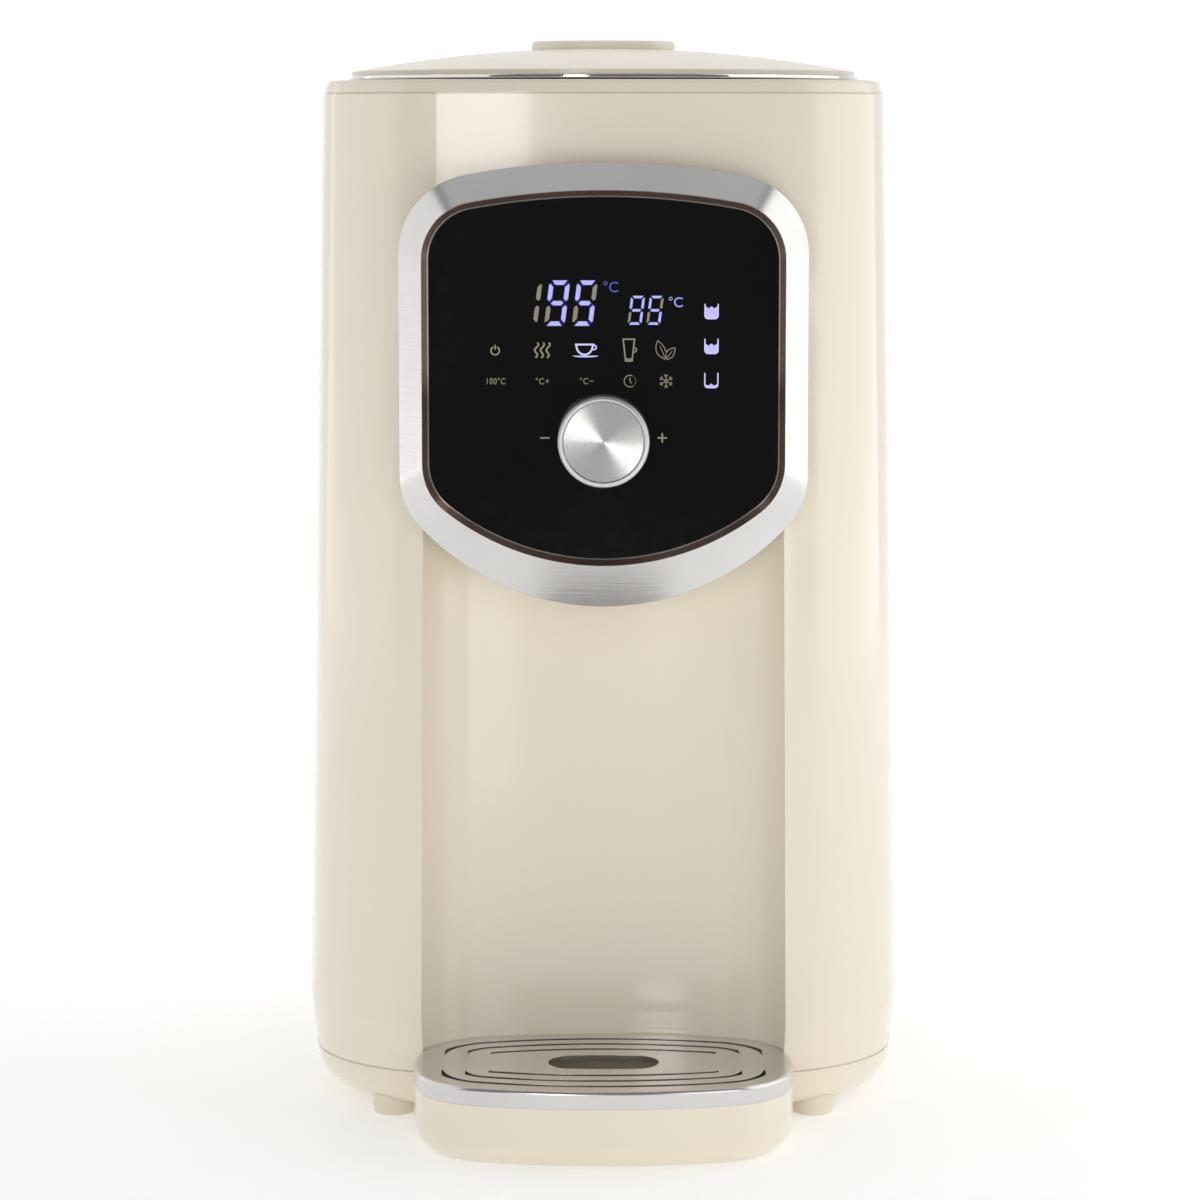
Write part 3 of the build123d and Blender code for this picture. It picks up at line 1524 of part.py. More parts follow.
# Lid cover: a shallow dome with the button's hole, steam slots and half of the hinge
lid_screw_places = square_places(lid_screw_place)
rim_inner_radius = cover_rim_radius - lid_rim_wall
steam_slot_places = [
    (0, (row - (steam_slot_count - 1) / 2) * steam_slot_pitch) for row in range(steam_slot_count)
]
with BuildPart() as lid_cover:
    with BuildSketch(front_plane(body_y)):
        with BuildLine():
            TangentArc((0, crown_top), (cover_rim_radius, cover_rim_top), tangent=(1, 0))
            Line((cover_rim_radius, cover_rim_top), (cover_rim_radius, ring_top))
            Line((cover_rim_radius, ring_top), (rim_inner_radius, ring_top))
            TangentArc((0, crown_top - lid_wall), (rim_inner_radius, ring_top), tangent=(1, 0))
            Line((0, crown_top - lid_wall), (0, crown_top))
        make_face()
    revolve(axis=Axis((0, body_y, 0), (0, 0, 1)))
    boss_plane = level_plane(pan_floor, y=body_y)
    extrude(dots(boss_plane, lid_screw_places, lid_boss_radius), amount=crown_top - lid_boss_drop - pan_floor)
    extrude(
        dots(boss_plane, lid_screw_places, screw_hole), amount=lid_screw_length + seat_gap, mode=Mode.SUBTRACT
    )
    with BuildSketch(side_plane(-lid_barrel_half, y=hinge_y, z=hinge_z)):
        Circle(hinge_barrel)
        with Locations((-lid_web_reach / 2, (ring_top - hinge_z + lid_web_rise) / 2)):
            Rectangle(lid_web_reach, lid_web_rise - ring_top + hinge_z)
    extrude(amount=2 * lid_barrel_half)
    with BuildSketch(side_plane(-lid_barrel_half, y=hinge_y, z=hinge_z)):
        Circle(pin_radius + running_gap)
    extrude(amount=2 * lid_barrel_half, mode=Mode.SUBTRACT)
    extrude(grip_outline(ring_bottom, grip_gap), amount=grip_top - ring_bottom, mode=Mode.SUBTRACT)
    extrude(
        boxes(level_plane(ring_bottom, 0.0, steam_y), steam_slot_places, steam_slot_length, steam_slot_width),
        amount=grip_top - ring_bottom,
        mode=Mode.SUBTRACT,
    )
lid_cover.part.label = "lid_cover"
export_step(lid_cover.part, "parts/lid_cover.step")

# Lid trim ring, notched where the hinge passes
with BuildPart() as lid_trim_ring:
    extrude(disc(ring_bottom, ring_radius, pan_radius + seat_gap), amount=ring_top - ring_bottom)
    fillet(lid_trim_ring.edges().filter_by(GeomType.CIRCLE).group_by(SortBy.RADIUS)[-1], ring_round)
    with BuildSketch(side_plane(-hinge_half - hinge_ring_gap, y=hinge_y, z=hinge_z)):
        Circle(hinge_barrel + hinge_notch_gap)
    extrude(amount=2 * (hinge_half + hinge_ring_gap), mode=Mode.SUBTRACT)
lid_trim_ring.part.label = "lid_trim_ring"
export_step(lid_trim_ring.part, "parts/lid_trim_ring.step")

# Lid pan: the plug that closes the neck, with guides for the latch bolt
bolt_side = bolt_width / 2 + bolt_gap
nose_y = body_y - neck_radius - bolt_nose
with BuildPart() as lid_pan:
    extrude(disc(pan_bottom, pan_radius), amount=pan_sheet)
    extrude(disc(pan_floor, pan_radius, pan_radius - pan_sheet), amount=ring_top - seat_gap - pan_floor)
    for side in (-1, 1):
        guide_x = side * (bolt_side + guide_thickness / 2)
        with BuildSketch(level_plane(pan_floor, guide_x, nose_y + guide_step)):
            Rectangle(guide_thickness, guide_length)
        extrude(amount=bolt_top - pan_floor)
    with BuildSketch(level_plane(pan_floor, 0.0, nose_y + bolt_rest_step)):
        Rectangle(bolt_width, bolt_rest_length)
        with Locations((0, bolt_rest_pitch)):
            Rectangle(bolt_width, bolt_rest_length)
    extrude(amount=bolt_rise - seat_gap)
    with BuildSketch(front_plane(body_y - pan_radius + 2 * pan_sheet, z=bolt_bottom + bolt_height / 2)):
        Rectangle(bolt_width + 2 * bolt_gap, bolt_height + 2 * bolt_gap)
    extrude(amount=4 * pan_sheet, mode=Mode.SUBTRACT)
    pan_through = pan_sheet + 2 * past
    extrude(
        disc(pan_bottom - past, steam_radius + seat_gap, y=steam_y), amount=pan_through, mode=Mode.SUBTRACT
    )
    extrude(
        dots(level_plane(pan_bottom - past, y=body_y), lid_screw_places, screw_hole),
        amount=pan_through,
        mode=Mode.SUBTRACT,
    )
lid_pan.part.label = "lid_pan"
export_step(lid_pan.part, "parts/lid_pan.step")

lid_screw_plane = Plane(origin=(0, body_y, pan_bottom), x_dir=(1, 0, 0), z_dir=(0, 0, -1))
lid_screws = screws(lid_screw_plane, lid_screw_places, pan_sheet + lid_screw_length)
lid_screws.label = "lid_screws"
export_step(lid_screws, "parts/lid_screws.step")

# Lid seal under the pan
seal_bottom = neck_bottom + neck_flange + seal_gap
with BuildPart() as lid_seal:
    extrude(disc(seal_bottom, seal_outer, seal_outer - seal_width), amount=pan_bottom - seal_bottom)
lid_seal.part.label = "lid_seal"
export_step(lid_seal.part, "parts/lid_seal.step")

# Steam valve: a cup through the pan, open at the top under the cover's slots
with BuildPart() as steam_valve:
    cup_bottom = pan_bottom - steam_drop
    cup_height = crown_top - steam_top_drop - cup_bottom
    extrude(disc(cup_bottom, steam_radius, y=steam_y), amount=cup_height)
    extrude(disc(pan_floor, steam_radius + steam_flange, y=steam_y), amount=steam_floor)
    extrude(
        disc(cup_bottom + steam_floor, steam_radius - steam_wall, y=steam_y),
        amount=cup_height,
        mode=Mode.SUBTRACT,
    )
    steam_holes = ring_places(steam_hole_ring, steam_hole_count)
    extrude(
        dots(level_plane(cup_bottom - past, 0.0, steam_y), steam_holes, steam_hole_radius),
        amount=steam_floor + 2 * past,
        mode=Mode.SUBTRACT,
    )
steam_valve.part.label = "steam_valve"
export_step(steam_valve.part, "parts/steam_valve.step")

# Lid button: an oval grip with a flange under the cover and a finger that pushes the bolt back
ramp_bottom = bolt_top - ramp_height
finger_bottom = ramp_bottom + finger_drop
finger_back = ramp_y + finger_drop - finger_gap
with BuildPart() as lid_button:
    extrude(grip_outline(flange_bottom), amount=grip_top - flange_bottom)
    fillet(lid_button.edges().group_by(Axis.Z)[-1], grip_round)
    extrude(grip_outline(flange_bottom, grip_flange), amount=grip_flange_thickness)
    with BuildSketch(level_plane(finger_bottom, 0.0, finger_back - finger_depth / 2)):
        Rectangle(finger_width, finger_depth)
    extrude(amount=flange_bottom - finger_bottom)
lid_button.part.label = "lid_button"
export_step(lid_button.part, "parts/lid_button.step")

# Button springs, one each side of the bolt
spring_height = flange_bottom - pan_floor - 2 * spring_wire
spring_parts = []
for spring_place in (-spring_x, spring_x):
    spring_base = level_plane(pan_floor + spring_wire, spring_place, body_y)
    with BuildPart() as coil:
        with BuildLine(spring_base) as coil_line:
            Helix(spring_height / spring_turns, spring_height, spring_radius)
        with BuildSketch(Plane(origin=coil_line.line @ 0, z_dir=coil_line.line % 0)):
            Circle(spring_wire)
        sweep(path=coil_line.line, is_frenet=True)
    spring_parts.append(coil.part)
with BuildPart() as button_springs:
    add(spring_parts)
button_springs.part.label = "button_springs"
export_step(button_springs.part, "parts/button_springs.step")

# Latch bolt: a bar with a window whose back edge is a ramp
bolt_back = ramp_y + bolt_tail
window_front = finger_back - finger_depth - button_travel - finger_gap
with BuildPart() as latch_bolt:
    with BuildSketch(level_plane(bolt_bottom, 0.0, (nose_y + bolt_back) / 2)):
        Rectangle(bolt_width, bolt_back - nose_y)
    extrude(amount=bolt_height)
    with BuildSketch(side_plane(-finger_width / 2 - bolt_gap)):
        with BuildLine():
            Polyline(
                (window_front, bolt_bottom - past),
                (ramp_y, bolt_bottom - past),
                (ramp_y, ramp_bottom),
                (ramp_y + ramp_height + past, bolt_top + past),
                (window_front, bolt_top + past),
                close=True,
            )
        make_face()
    extrude(amount=finger_width + 2 * bolt_gap, mode=Mode.SUBTRACT)
latch_bolt.part.label = "latch_bolt"
export_step(latch_bolt.part, "parts/latch_bolt.step")
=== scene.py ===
import json
from math import cos, hypot, pi, radians, sin

import bmesh
import bpy
from mathutils import Matrix, Vector


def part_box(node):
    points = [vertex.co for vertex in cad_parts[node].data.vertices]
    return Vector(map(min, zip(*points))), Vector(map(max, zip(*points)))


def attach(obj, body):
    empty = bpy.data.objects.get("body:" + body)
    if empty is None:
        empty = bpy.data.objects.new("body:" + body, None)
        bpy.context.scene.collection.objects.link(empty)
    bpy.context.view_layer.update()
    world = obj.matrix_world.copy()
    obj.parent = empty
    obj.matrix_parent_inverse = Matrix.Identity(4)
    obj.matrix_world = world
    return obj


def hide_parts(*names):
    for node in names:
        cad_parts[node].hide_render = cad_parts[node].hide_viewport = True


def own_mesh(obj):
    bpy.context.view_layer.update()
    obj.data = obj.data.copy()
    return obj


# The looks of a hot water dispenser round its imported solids: finishes for every solid, the signs on
# the control panel, and a plain studio. Lengths are in metres; the panel's signs are drawn in mm.
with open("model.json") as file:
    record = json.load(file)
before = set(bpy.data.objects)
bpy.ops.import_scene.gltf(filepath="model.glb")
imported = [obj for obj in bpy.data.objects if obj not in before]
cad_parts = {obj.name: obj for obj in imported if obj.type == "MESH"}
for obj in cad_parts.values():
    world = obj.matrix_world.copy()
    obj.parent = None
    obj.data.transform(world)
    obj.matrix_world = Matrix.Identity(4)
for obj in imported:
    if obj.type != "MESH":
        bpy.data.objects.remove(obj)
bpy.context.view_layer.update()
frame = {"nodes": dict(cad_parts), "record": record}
nodes = frame["nodes"]

glass_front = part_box("panel_glass")[0].y
bezel_low, bezel_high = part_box("bezel")
bezel_middle = (0.0, 0.0, (bezel_low.z + bezel_high.z) / 2)
knob_low, knob_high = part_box("knob_face")
knob_centre = tuple((knob_low + knob_high) / 2)


# Shader building blocks

def set_inputs(tree, node, inputs):
    """Each named input is given a number, a colour or the socket that feeds it."""
    for name, value in inputs.items():
        if isinstance(value, bpy.types.NodeSocket):
            tree.links.new(value, node.inputs[name])
        else:
            node.inputs[name].default_value = value


def add_node(tree, kind, inputs=None, **settings):
    """A new shader node with its settings and inputs."""
    made = tree.nodes.new(kind)
    for name, value in settings.items():
        setattr(made, name, value)
    set_inputs(tree, made, inputs or {})
    return made


def vector_math(tree, operation, *values):
    """A node that calculates with one or two vectors."""
    return add_node(tree, "ShaderNodeVectorMath", dict(enumerate(values)), operation=operation)


def place_of(tree):
    """The object's own coordinates, in metres."""
    return add_node(tree, "ShaderNodeTexCoord").outputs["Object"]


def noise(tree, size, detail=3.0, place=None, stretch=(1.0, 1.0, 1.0)):
    """Cloudy values from 0 to 1 whose lumps are about size metres across, drawn out by stretch."""
    scales = tuple(1.0 / (size * share) for share in stretch)
    scaled = vector_math(tree, "MULTIPLY", place or place_of(tree), scales)
    made = add_node(tree, "ShaderNodeTexNoise", {"Vector": scaled.outputs[0], "Scale": 1.0, "Detail": detail})
    return made.outputs["Fac"]


def spread(tree, value, low, high):
    """The value's middle range from 0.3 to 0.7 stretched to low and high."""
    made = add_node(tree, "ShaderNodeMapRange", {"Value": value, 1: 0.3, 2: 0.7, 3: low, 4: high})
    return made.outputs["Result"]


def blend_colours(tree, factor, first, second):
    """A mix of two colours or colour sockets."""
    pair = [value if isinstance(value, bpy.types.NodeSocket) else (*value, 1.0) for value in (first, second)]
    made = add_node(tree, "ShaderNodeMix", {0: factor, 6: pair[0], 7: pair[1]}, data_type="RGBA")
    return made.outputs[2]


def add_relief(tree, shader, height, strength, distance, edge=0.0):
    """Fine relief for a shader, over edges that look rounded by a radius of edge metres."""
    inputs = {"Height": height, "Strength": strength, "Distance": distance}
    if edge > 0.0:
        rounded = add_node(tree, "ShaderNodeBevel", {"Radius": edge}, samples=6)
        inputs["Normal"] = rounded.outputs["Normal"]
    bumps = add_node(tree, "ShaderNodeBump", inputs)
    tree.links.new(bumps.outputs["Normal"], shader.inputs["Normal"])


def tinted(colour, share):
    """A colour made lighter or darker by a share."""
    return tuple(min(1.0, part * (1.0 + share)) for part in colour)


def shader_of(name, constants):
    """A new material, its node tree and its main shader with the settings that are the same all over."""
    made = bpy.data.materials.new(name)
    made.use_nodes = True
    tree = made.node_tree
    shader = tree.nodes["Principled BSDF"]
    set_inputs(tree, shader, constants)
    return made, tree, shader


def surface(name, colour, tone=0.05, patch=0.06, roughness=(0.3, 0.4), rough_size=0.02, bump=0.05,
            bump_size=0.0008, stretch=(1.0, 1.0, 1.0), edge=0.0, **constants):
    """A moulded, cast or drawn finish: slow tone changes, uneven gloss, fine relief and soft edges."""
    made, tree, shader = shader_of(name, {key.replace("_", " "): value for key, value in constants.items()})
    tones = spread(tree, noise(tree, patch, 4.0), 0.0, 1.0)
    gloss = noise(tree, rough_size, 5.0, stretch=stretch)
    set_inputs(tree, shader, {
        "Base Color": blend_colours(tree, tones, tinted(colour, -tone), tinted(colour, tone)),
        "Roughness": spread(tree, gloss, *roughness),
    })
    add_relief(tree, shader, noise(tree, bump_size, 2.0, stretch=stretch), bump, bump_size, edge)
    return made


# Finishes

cream_colour = (0.80, 0.73, 0.60)
cream = surface("cream_gloss", cream_colour, tone=0.006, patch=0.25, roughness=(0.28, 0.31), rough_size=0.15,
                bump=0.02, bump_size=0.0009, edge=0.0005, Coat_Weight=0.8, Coat_Roughness=0.10)
cream_lid = surface("cream_lid", cream_colour, tone=0.006, patch=0.25, roughness=(0.34, 0.38),
                    rough_size=0.15, bump=0.02, bump_size=0.0009, edge=0.0005, Coat_Weight=0.35,
                    Coat_Roughness=0.15, Specular_IOR_Level=0.35)
cream_soft = surface("cream_soft", tinted(cream_colour, -0.03), tone=0.03, roughness=(0.55, 0.65), bump=0.12,
                     bump_size=0.0005, edge=0.0003)
# Painted light: the grip's beige is set lighter than its own colour, to make up for the shade it gets beside
# the lid's dome.
grip_lightened_against_shade = surface("grip_beige", (0.92, 0.86, 0.74), tone=0.02, roughness=(0.36, 0.44), bump=0.05,
                      bump_size=0.0006, edge=0.0005, Coat_Weight=0.15, Coat_Roughness=0.3)
chrome = surface("polished_chrome", (0.80, 0.80, 0.80), tone=0.02, roughness=(0.05, 0.09), bump=0.01,
                 bump_size=0.002, edge=0.0002, Metallic=1.0)
knob_rim = surface("knob_rim_metal", (0.66, 0.66, 0.655), tone=0.02, roughness=(0.34, 0.40), bump=0.01,
                   bump_size=0.002, edge=0.0003, Metallic=1.0)
tray_metal = surface("tray_satin_metal", (0.69, 0.68, 0.675), tone=0.03, roughness=(0.20, 0.28), bump=0.03,
                     bump_size=0.0006, edge=0.0003, Metallic=1.0)
dark_plastic = surface("dark_plastic", (0.035, 0.035, 0.036), tone=0.15, patch=0.02, roughness=(0.42, 0.55),
                       bump=0.15, bump_size=0.0006, edge=0.0002)
white_plastic = surface("white_plastic", (0.72, 0.72, 0.70), tone=0.02, roughness=(0.35, 0.45), bump=0.05,
                        bump_size=0.0008, edge=0.0003)
tank_steel = surface("drawn_steel", (0.68, 0.68, 0.67), tone=0.02, roughness=(0.26, 0.32), rough_size=0.003,
                     bump=0.04, bump_size=0.0004, stretch=(30.0, 30.0, 1.0), edge=0.0002, Metallic=1.0)
small_steel = surface("small_steel", (0.50, 0.50, 0.50), tone=0.08, patch=0.01, roughness=(0.25, 0.40),
                      rough_size=0.003, bump=0.05, bump_size=0.0004, edge=0.0001, Metallic=1.0)
brass = surface("pin_brass", (0.72, 0.52, 0.25), tone=0.06, patch=0.004, roughness=(0.20, 0.32),
                rough_size=0.002, bump=0.03, bump_size=0.0003, edge=0.0001, Metallic=1.0)
cast_aluminium = surface("cast_aluminium", (0.55, 0.55, 0.54), tone=0.10, patch=0.01, roughness=(0.45, 0.60),
                         bump=0.25, bump_size=0.0007, Metallic=1.0)
silicone = surface("silicone", (0.66, 0.63, 0.57), tone=0.04, roughness=(0.40, 0.52), bump=0.05,
                   bump_size=0.0006, Subsurface_Weight=0.1, Subsurface_Scale=0.002)
foam = surface("foam_felt", (0.25, 0.25, 0.245), tone=0.20, patch=0.004, roughness=(0.80, 0.95), bump=0.5,
               bump_size=0.0009)
board = surface("printed_board", (0.03, 0.15, 0.06), tone=0.20, patch=0.006, roughness=(0.30, 0.45),
                rough_size=0.003, bump=0.10, bump_size=0.0007)
component = surface("moulded_component", (0.03, 0.03, 0.032), tone=0.25, patch=0.006, roughness=(0.40, 0.60),
                    bump=0.10, bump_size=0.0005, edge=0.0002)


def bezel_finish():
    """Satin plated metal, with painted shade and reflection in deep brown where the frame slopes inwards, and
    a painted highlight, a bright line of plate colour, at the glass.
    """
    coated = {"Metallic": 1.0, "Coat Weight": 0.1, "Coat Roughness": 0.1}
    made, tree, shader = shader_of("bezel_metal", coated)
    place = place_of(tree)
    outwards = vector_math(tree, "SUBTRACT", place, bezel_middle)
    facing = add_node(tree, "ShaderNodeTexCoord").outputs["Normal"]
    flat = vector_math(tree, "MULTIPLY", facing, (1.0, 0.0, 1.0))
    inwards = vector_math(tree, "DOT_PRODUCT", outwards.outputs[0], flat.outputs[0]).outputs["Value"]
    # Painted shade and reflection: faces turned in towards the panel's middle take the deep brown below in
    # place of the shade and reflections on the inner slope.
    inward_shade_mask = add_node(tree, "ShaderNodeMapRange", {"Value": inwards, 1: -0.001, 2: -0.004})
    depth = add_node(tree, "ShaderNodeSeparateXYZ", {0: place}).outputs["Y"]
    # Painted highlight: within about half a millimetre of the glass the brown gives way to the plate colour,
    # drawing a bright line.
    highlight_line_back, highlight_line_front = glass_front - 0.0005, glass_front - 0.0008
    clear = add_node(tree, "ShaderNodeMapRange", {"Value": depth, 1: highlight_line_back, 2: highlight_line_front})
    both = {0: inward_shade_mask.outputs[0], 1: clear.outputs[0]}
    wall = add_node(tree, "ShaderNodeMath", both, operation="MULTIPLY")
    grain = noise(tree, 0.0006, 3.0, stretch=(30.0, 30.0, 1.0))
    patches = spread(tree, noise(tree, 0.03, 4.0), 0.0, 1.0)
    plate = blend_colours(tree, patches, (0.70, 0.695, 0.69), (0.75, 0.745, 0.74))
    painted_shade_colour = blend_colours(tree, grain, (0.30, 0.20, 0.155), (0.18, 0.125, 0.10))
    set_inputs(tree, shader, {
        "Base Color": blend_colours(tree, wall.outputs[0], plate, painted_shade_colour),
        "Roughness": spread(tree, grain, 0.20, 0.25),
    })
    add_relief(tree, shader, grain, 0.04, 0.0005, edge=0.0004)
    return made


def turned_finish():
    """Metal turned on a lathe: fine rings round the knob's axis that draw the light out into wedges."""
    turned = {"Metallic": 1.0, "Anisotropic": 0.96, "Anisotropic Rotation": 0.25}
    made, tree, shader = shader_of("turned_metal", turned)
    centred = vector_math(tree, "SUBTRACT", place_of(tree), knob_centre)
    radius = vector_math(tree, "LENGTH", centred.outputs[0]).outputs["Value"]
    ring_place = add_node(tree, "ShaderNodeCombineXYZ", {"X": radius})
    rings = noise(tree, 0.00012, 2.0, place=ring_place.outputs[0])
    shares = spread(tree, rings, 0.0, 1.0)
    tangent = add_node(tree, "ShaderNodeTangent", direction_type="RADIAL", axis="Y")
    set_inputs(tree, shader, {
        "Base Color": blend_colours(tree, shares, (0.66, 0.645, 0.635), (0.82, 0.81, 0.80)),
        "Roughness": spread(tree, rings, 0.24, 0.30),
        "Tangent": tangent.outputs[0],
    })
    add_relief(tree, shader, rings, 0.12, 0.00005)
    return made


def glass_finish():
    """Smoked black glass with a faint brown depth and a trace of dust."""
    made, tree, shader = shader_of("smoked_glass", {"Specular IOR Level": 0.36})
    depth = spread(tree, noise(tree, 0.05, 3.0), 0.0, 1.0)
    set_inputs(tree, shader, {
        "Base Color": blend_colours(tree, depth, (0.0020, 0.0018, 0.0017), (0.0036, 0.0030, 0.0028)),
        "Roughness": spread(tree, noise(tree, 0.004, 6.0), 0.05, 0.09),
    })
    add_relief(tree, shader, noise(tree, 0.02, 1.0), 0.02, 0.0005)
    return made


def light_finish(name, colour, glow, strength):
    """A sign lit from behind, a little uneven as a diffuser is. At a small strength on a switched-off print
    it is a painted glow.
    """
    made, tree, shader = shader_of(name, {"Roughness": 0.4, "Emission Strength": strength})
    cloud = spread(tree, noise(tree, 0.0007, 2.0), 0.0, 1.0)
    set_inputs(tree, shader, {
        "Base Color": blend_colours(tree, cloud, tinted(colour, -0.06), tinted(colour, 0.06)),
        "Emission Color": blend_colours(tree, cloud, tinted(glow, -0.16), tinted(glow, 0.16)),
    })
    return made


lit = light_finish("sign_lit", (0.20, 0.20, 0.32), (0.56, 0.53, 1.0), 0.80)
water = light_finish("sign_water", (0.18, 0.17, 0.32), (0.46, 0.42, 0.98), 0.80)
digit = light_finish("sign_digit", (0.12, 0.12, 0.22), (0.42, 0.42, 0.98), 0.85)
violet = light_finish("sign_violet", (0.12, 0.12, 0.30), (0.30, 0.29, 0.95), 0.80)
blue = light_finish("sign_blue", (0.03, 0.03, 0.12), (0.06, 0.07, 0.55), 0.75)
halo = light_finish("sign_halo", (0.01, 0.01, 0.05), (0.012, 0.010, 0.24), 0.7)
# Painted glow: the switched-off print gives off a tenth of its own colour, though no lamp stands behind it.
unlit_with_painted_glow = light_finish("sign_unlit_painted_glow", (0.24, 0.22, 0.15), (0.24, 0.22, 0.15), 0.10)

finishes = {
    "cream_shell": cream,
    "cream_feet": cream_soft,
    "grip_beige": grip_lightened_against_shade,
    "bezel_metal": bezel_finish(),
    "trim_chrome": chrome,
    "brushed_metal": turned_finish(),
    "tray_metal": tray_metal,
    "panel_black": glass_finish(),
    "dark_plastic": dark_plastic,
    "white_plastic": white_plastic,
    "steel_tank": tank_steel,
    "steel_small": small_steel,
    "pin_brass": brass,
    "heater_aluminium": cast_aluminium,
    "cutout_black": component,
    "seal_rubber": silicone,
    "foam_grey": foam,
    "board_green": board,
    "component_black": component,
}
own_finishes = {"knob_body": knob_rim, "lid_cover": cream_lid}
for part in frame["record"]["subparts"]:
    solid = nodes[part["node"]]
    solid.data.materials.clear()
    solid.data.materials.append(own_finishes.get(part["node"], finishes[part["material_slot"]]))

# The button's springs are a copy of their own that moves with the lid
springs = bpy.data.objects.new("pressed_springs", nodes["button_springs"].data.copy())
bpy.context.scene.collection.objects.link(springs)
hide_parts("button_springs")
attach(springs, "lid")
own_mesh(springs)


# Flat shapes for the signs on the control panel, in mm: x to the right, z above the table

def arc(x, z, radius, start, end, steps=28, radius_z=None):
    """Points along a circle or an upright ellipse, by angle in degrees."""
    tall = radius if radius_z is None else radius_z
    turns = [radians(start + (end - start) * step / steps) for step in range(steps + 1)]
    return [(x + radius * cos(turn), z + tall * sin(turn)) for turn in turns]


def bow(first, middle, last, steps=16):
    """Points along a curve that leaves first, is drawn towards middle and ends at last."""
    points = []
    for step in range(steps + 1):
        t = step / steps
        weights = ((1 - t) ** 2, 2 * t * (1 - t), t * t)
        pulls = list(zip(weights, (first, middle, last)))
        points.append(tuple(sum(weight * point[axis] for weight, point in pulls) for axis in (0, 1)))
    return points


def ribbon(points, width, closed=False):
    """Four-sided pieces of one width along a line, with mitred joins."""
    count = len(points)
    sides = []
    for index, (x, z) in enumerate(points):
        before = points[index - 1] if closed or index > 0 else points[index]
        after = points[(index + 1) % count] if closed or index < count - 1 else points[index]
        come = Vector((x - before[0], z - before[1]))
        leave = Vector((after[0] - x, after[1] - z))
        along = (come.normalized() + leave.normalized()).normalized()
        lean = max(0.5, along.dot(leave.normalized() if leave.length > 0 else come.normalized()))
        step = Vector((-along.y, along.x)) * (width / 2 / lean)
        sides.append(((x + step.x, z + step.y), (x - step.x, z - step.y)))
    last = count if closed else count - 1
    return [
        (sides[i][0], sides[i][1], sides[(i + 1) % count][1], sides[(i + 1) % count][0]) for i in range(last)
    ]


def digit_bars(x, z, half_width, half_height, thick, slant):
    """The seven bars of a digit, by letter, leaning to the right."""
    w, h, t = half_width, half_height, thick
    top = [(-w + 0.7 * t, h), (w - 0.7 * t, h), (w - 1.45 * t, h - t), (-w + 1.45 * t, h - t)]
    middle = [(-w + t, 0), (-w + 1.5 * t, t / 2), (w - 1.5 * t, t / 2), (w - t, 0),
              (w - 1.5 * t, -t / 2), (-w + 1.5 * t, -t / 2)]
    left = [(-w + 0.3 * t, h - 0.8 * t), (-w + t, h - 1.6 * t), (-w + t, 1.15 * t), (-w + 0.5 * t, 0.55 * t),
            (-w, 0.95 * t), (-w, h - 1.1 * t)]
    bars = {
        "a": top,
        "f": left,
        "b": [(-px, pz) for px, pz in left],
        "g": middle,
        "e": [(px, -pz) for px, pz in left],
        "c": [(-px, -pz) for px, pz in left],
        "d": [(px, -pz) for px, pz in top],
    }
    return {name: [(x + px + slant * pz, z + pz) for px, pz in bar] for name, bar in bars.items()}


def swollen(shape, distance):
    """A convex shape with every corner moved away from its middle."""
    mid_x = sum(x for x, z in shape) / len(shape)
    mid_z = sum(z for x, z in shape) / len(shape)
    moved = []
    for x, z in shape:
        growth = 1 + distance / hypot(x - mid_x, z - mid_z)
        moved.append((mid_x + (x - mid_x) * growth, mid_z + (z - mid_z) * growth))
    return moved


def beaker_sign(x, z, level):
    """A beaker's wall, and the water in it with its waves level mm above the beaker's middle."""
    half, stroke, corner, wave = 2.2, 0.42, 1.1, 0.3
    rim_z, turn_z = z + 2.45, z - 2.5 + corner
    turn_x, inner = half - corner, half - stroke / 2

    def foot(radius, steps):
        left = arc(x - turn_x, turn_z, radius, 180, 270, steps)
        return left + arc(x + turn_x, turn_z, radius, 270, 360, steps)

    wall = [(x - half, rim_z)] + foot(corner, 8) + [(x + half, rim_z)]
    water_top = [
        (x + inner * (1 - step / 12), z + level + wave * cos(step / 24 * 4 * pi)) for step in range(25)
    ]
    water_foot = foot(corner - stroke / 2, 6)
    if level < -1.0:
        water_foot = [point for point in water_foot if point[1] < z + level + 0.2]
        water_top = water_top[5:-5]
    return ribbon(wall, stroke), water_top + water_foot


def power_sign(x, z):
    """An open ring with an upright bar in its gap."""
    ring = arc(x, z - 0.15, 1.4, 120, 420)
    return ribbon(ring, 0.5) + ribbon([(x, z + 0.2), (x, z + 1.75)], 0.5)


def steam_sign(x, z):
    """Three wavy lines side by side, the left one at x."""
    lines = []
    for line in range(3):
        wave = []
        for step in range(29):
            drop = step / 28
            swing = 0.52 * sin(drop * 2.9 * pi + 0.3)
            wave.append((x + 1.95 * line + swing - 0.5 * drop, z + 2.55 - 5.1 * drop))
        lines += ribbon(wave, 0.6)
    return lines


def cup_sign(x, z):
    """A cup with a rim and a handle above a flat saucer."""
    rim = z + 1.9
    wall = [(x - 2.9, rim)] + arc(x, rim - 0.3, 2.75, 180, 360, 24, 3.1) + [(x + 2.9, rim)]
    handle = arc(x + 3.2, rim - 0.95, 0.75, -110, 110, 12)
    saucer = arc(x + 0.3, z - 1.85, 4.35, 180, 360, 20, 0.55)
    return ribbon(wall, 0.6) + ribbon([(x - 3.2, rim), (x + 3.2, rim)], 0.6) + ribbon(handle, 0.45) + [saucer]


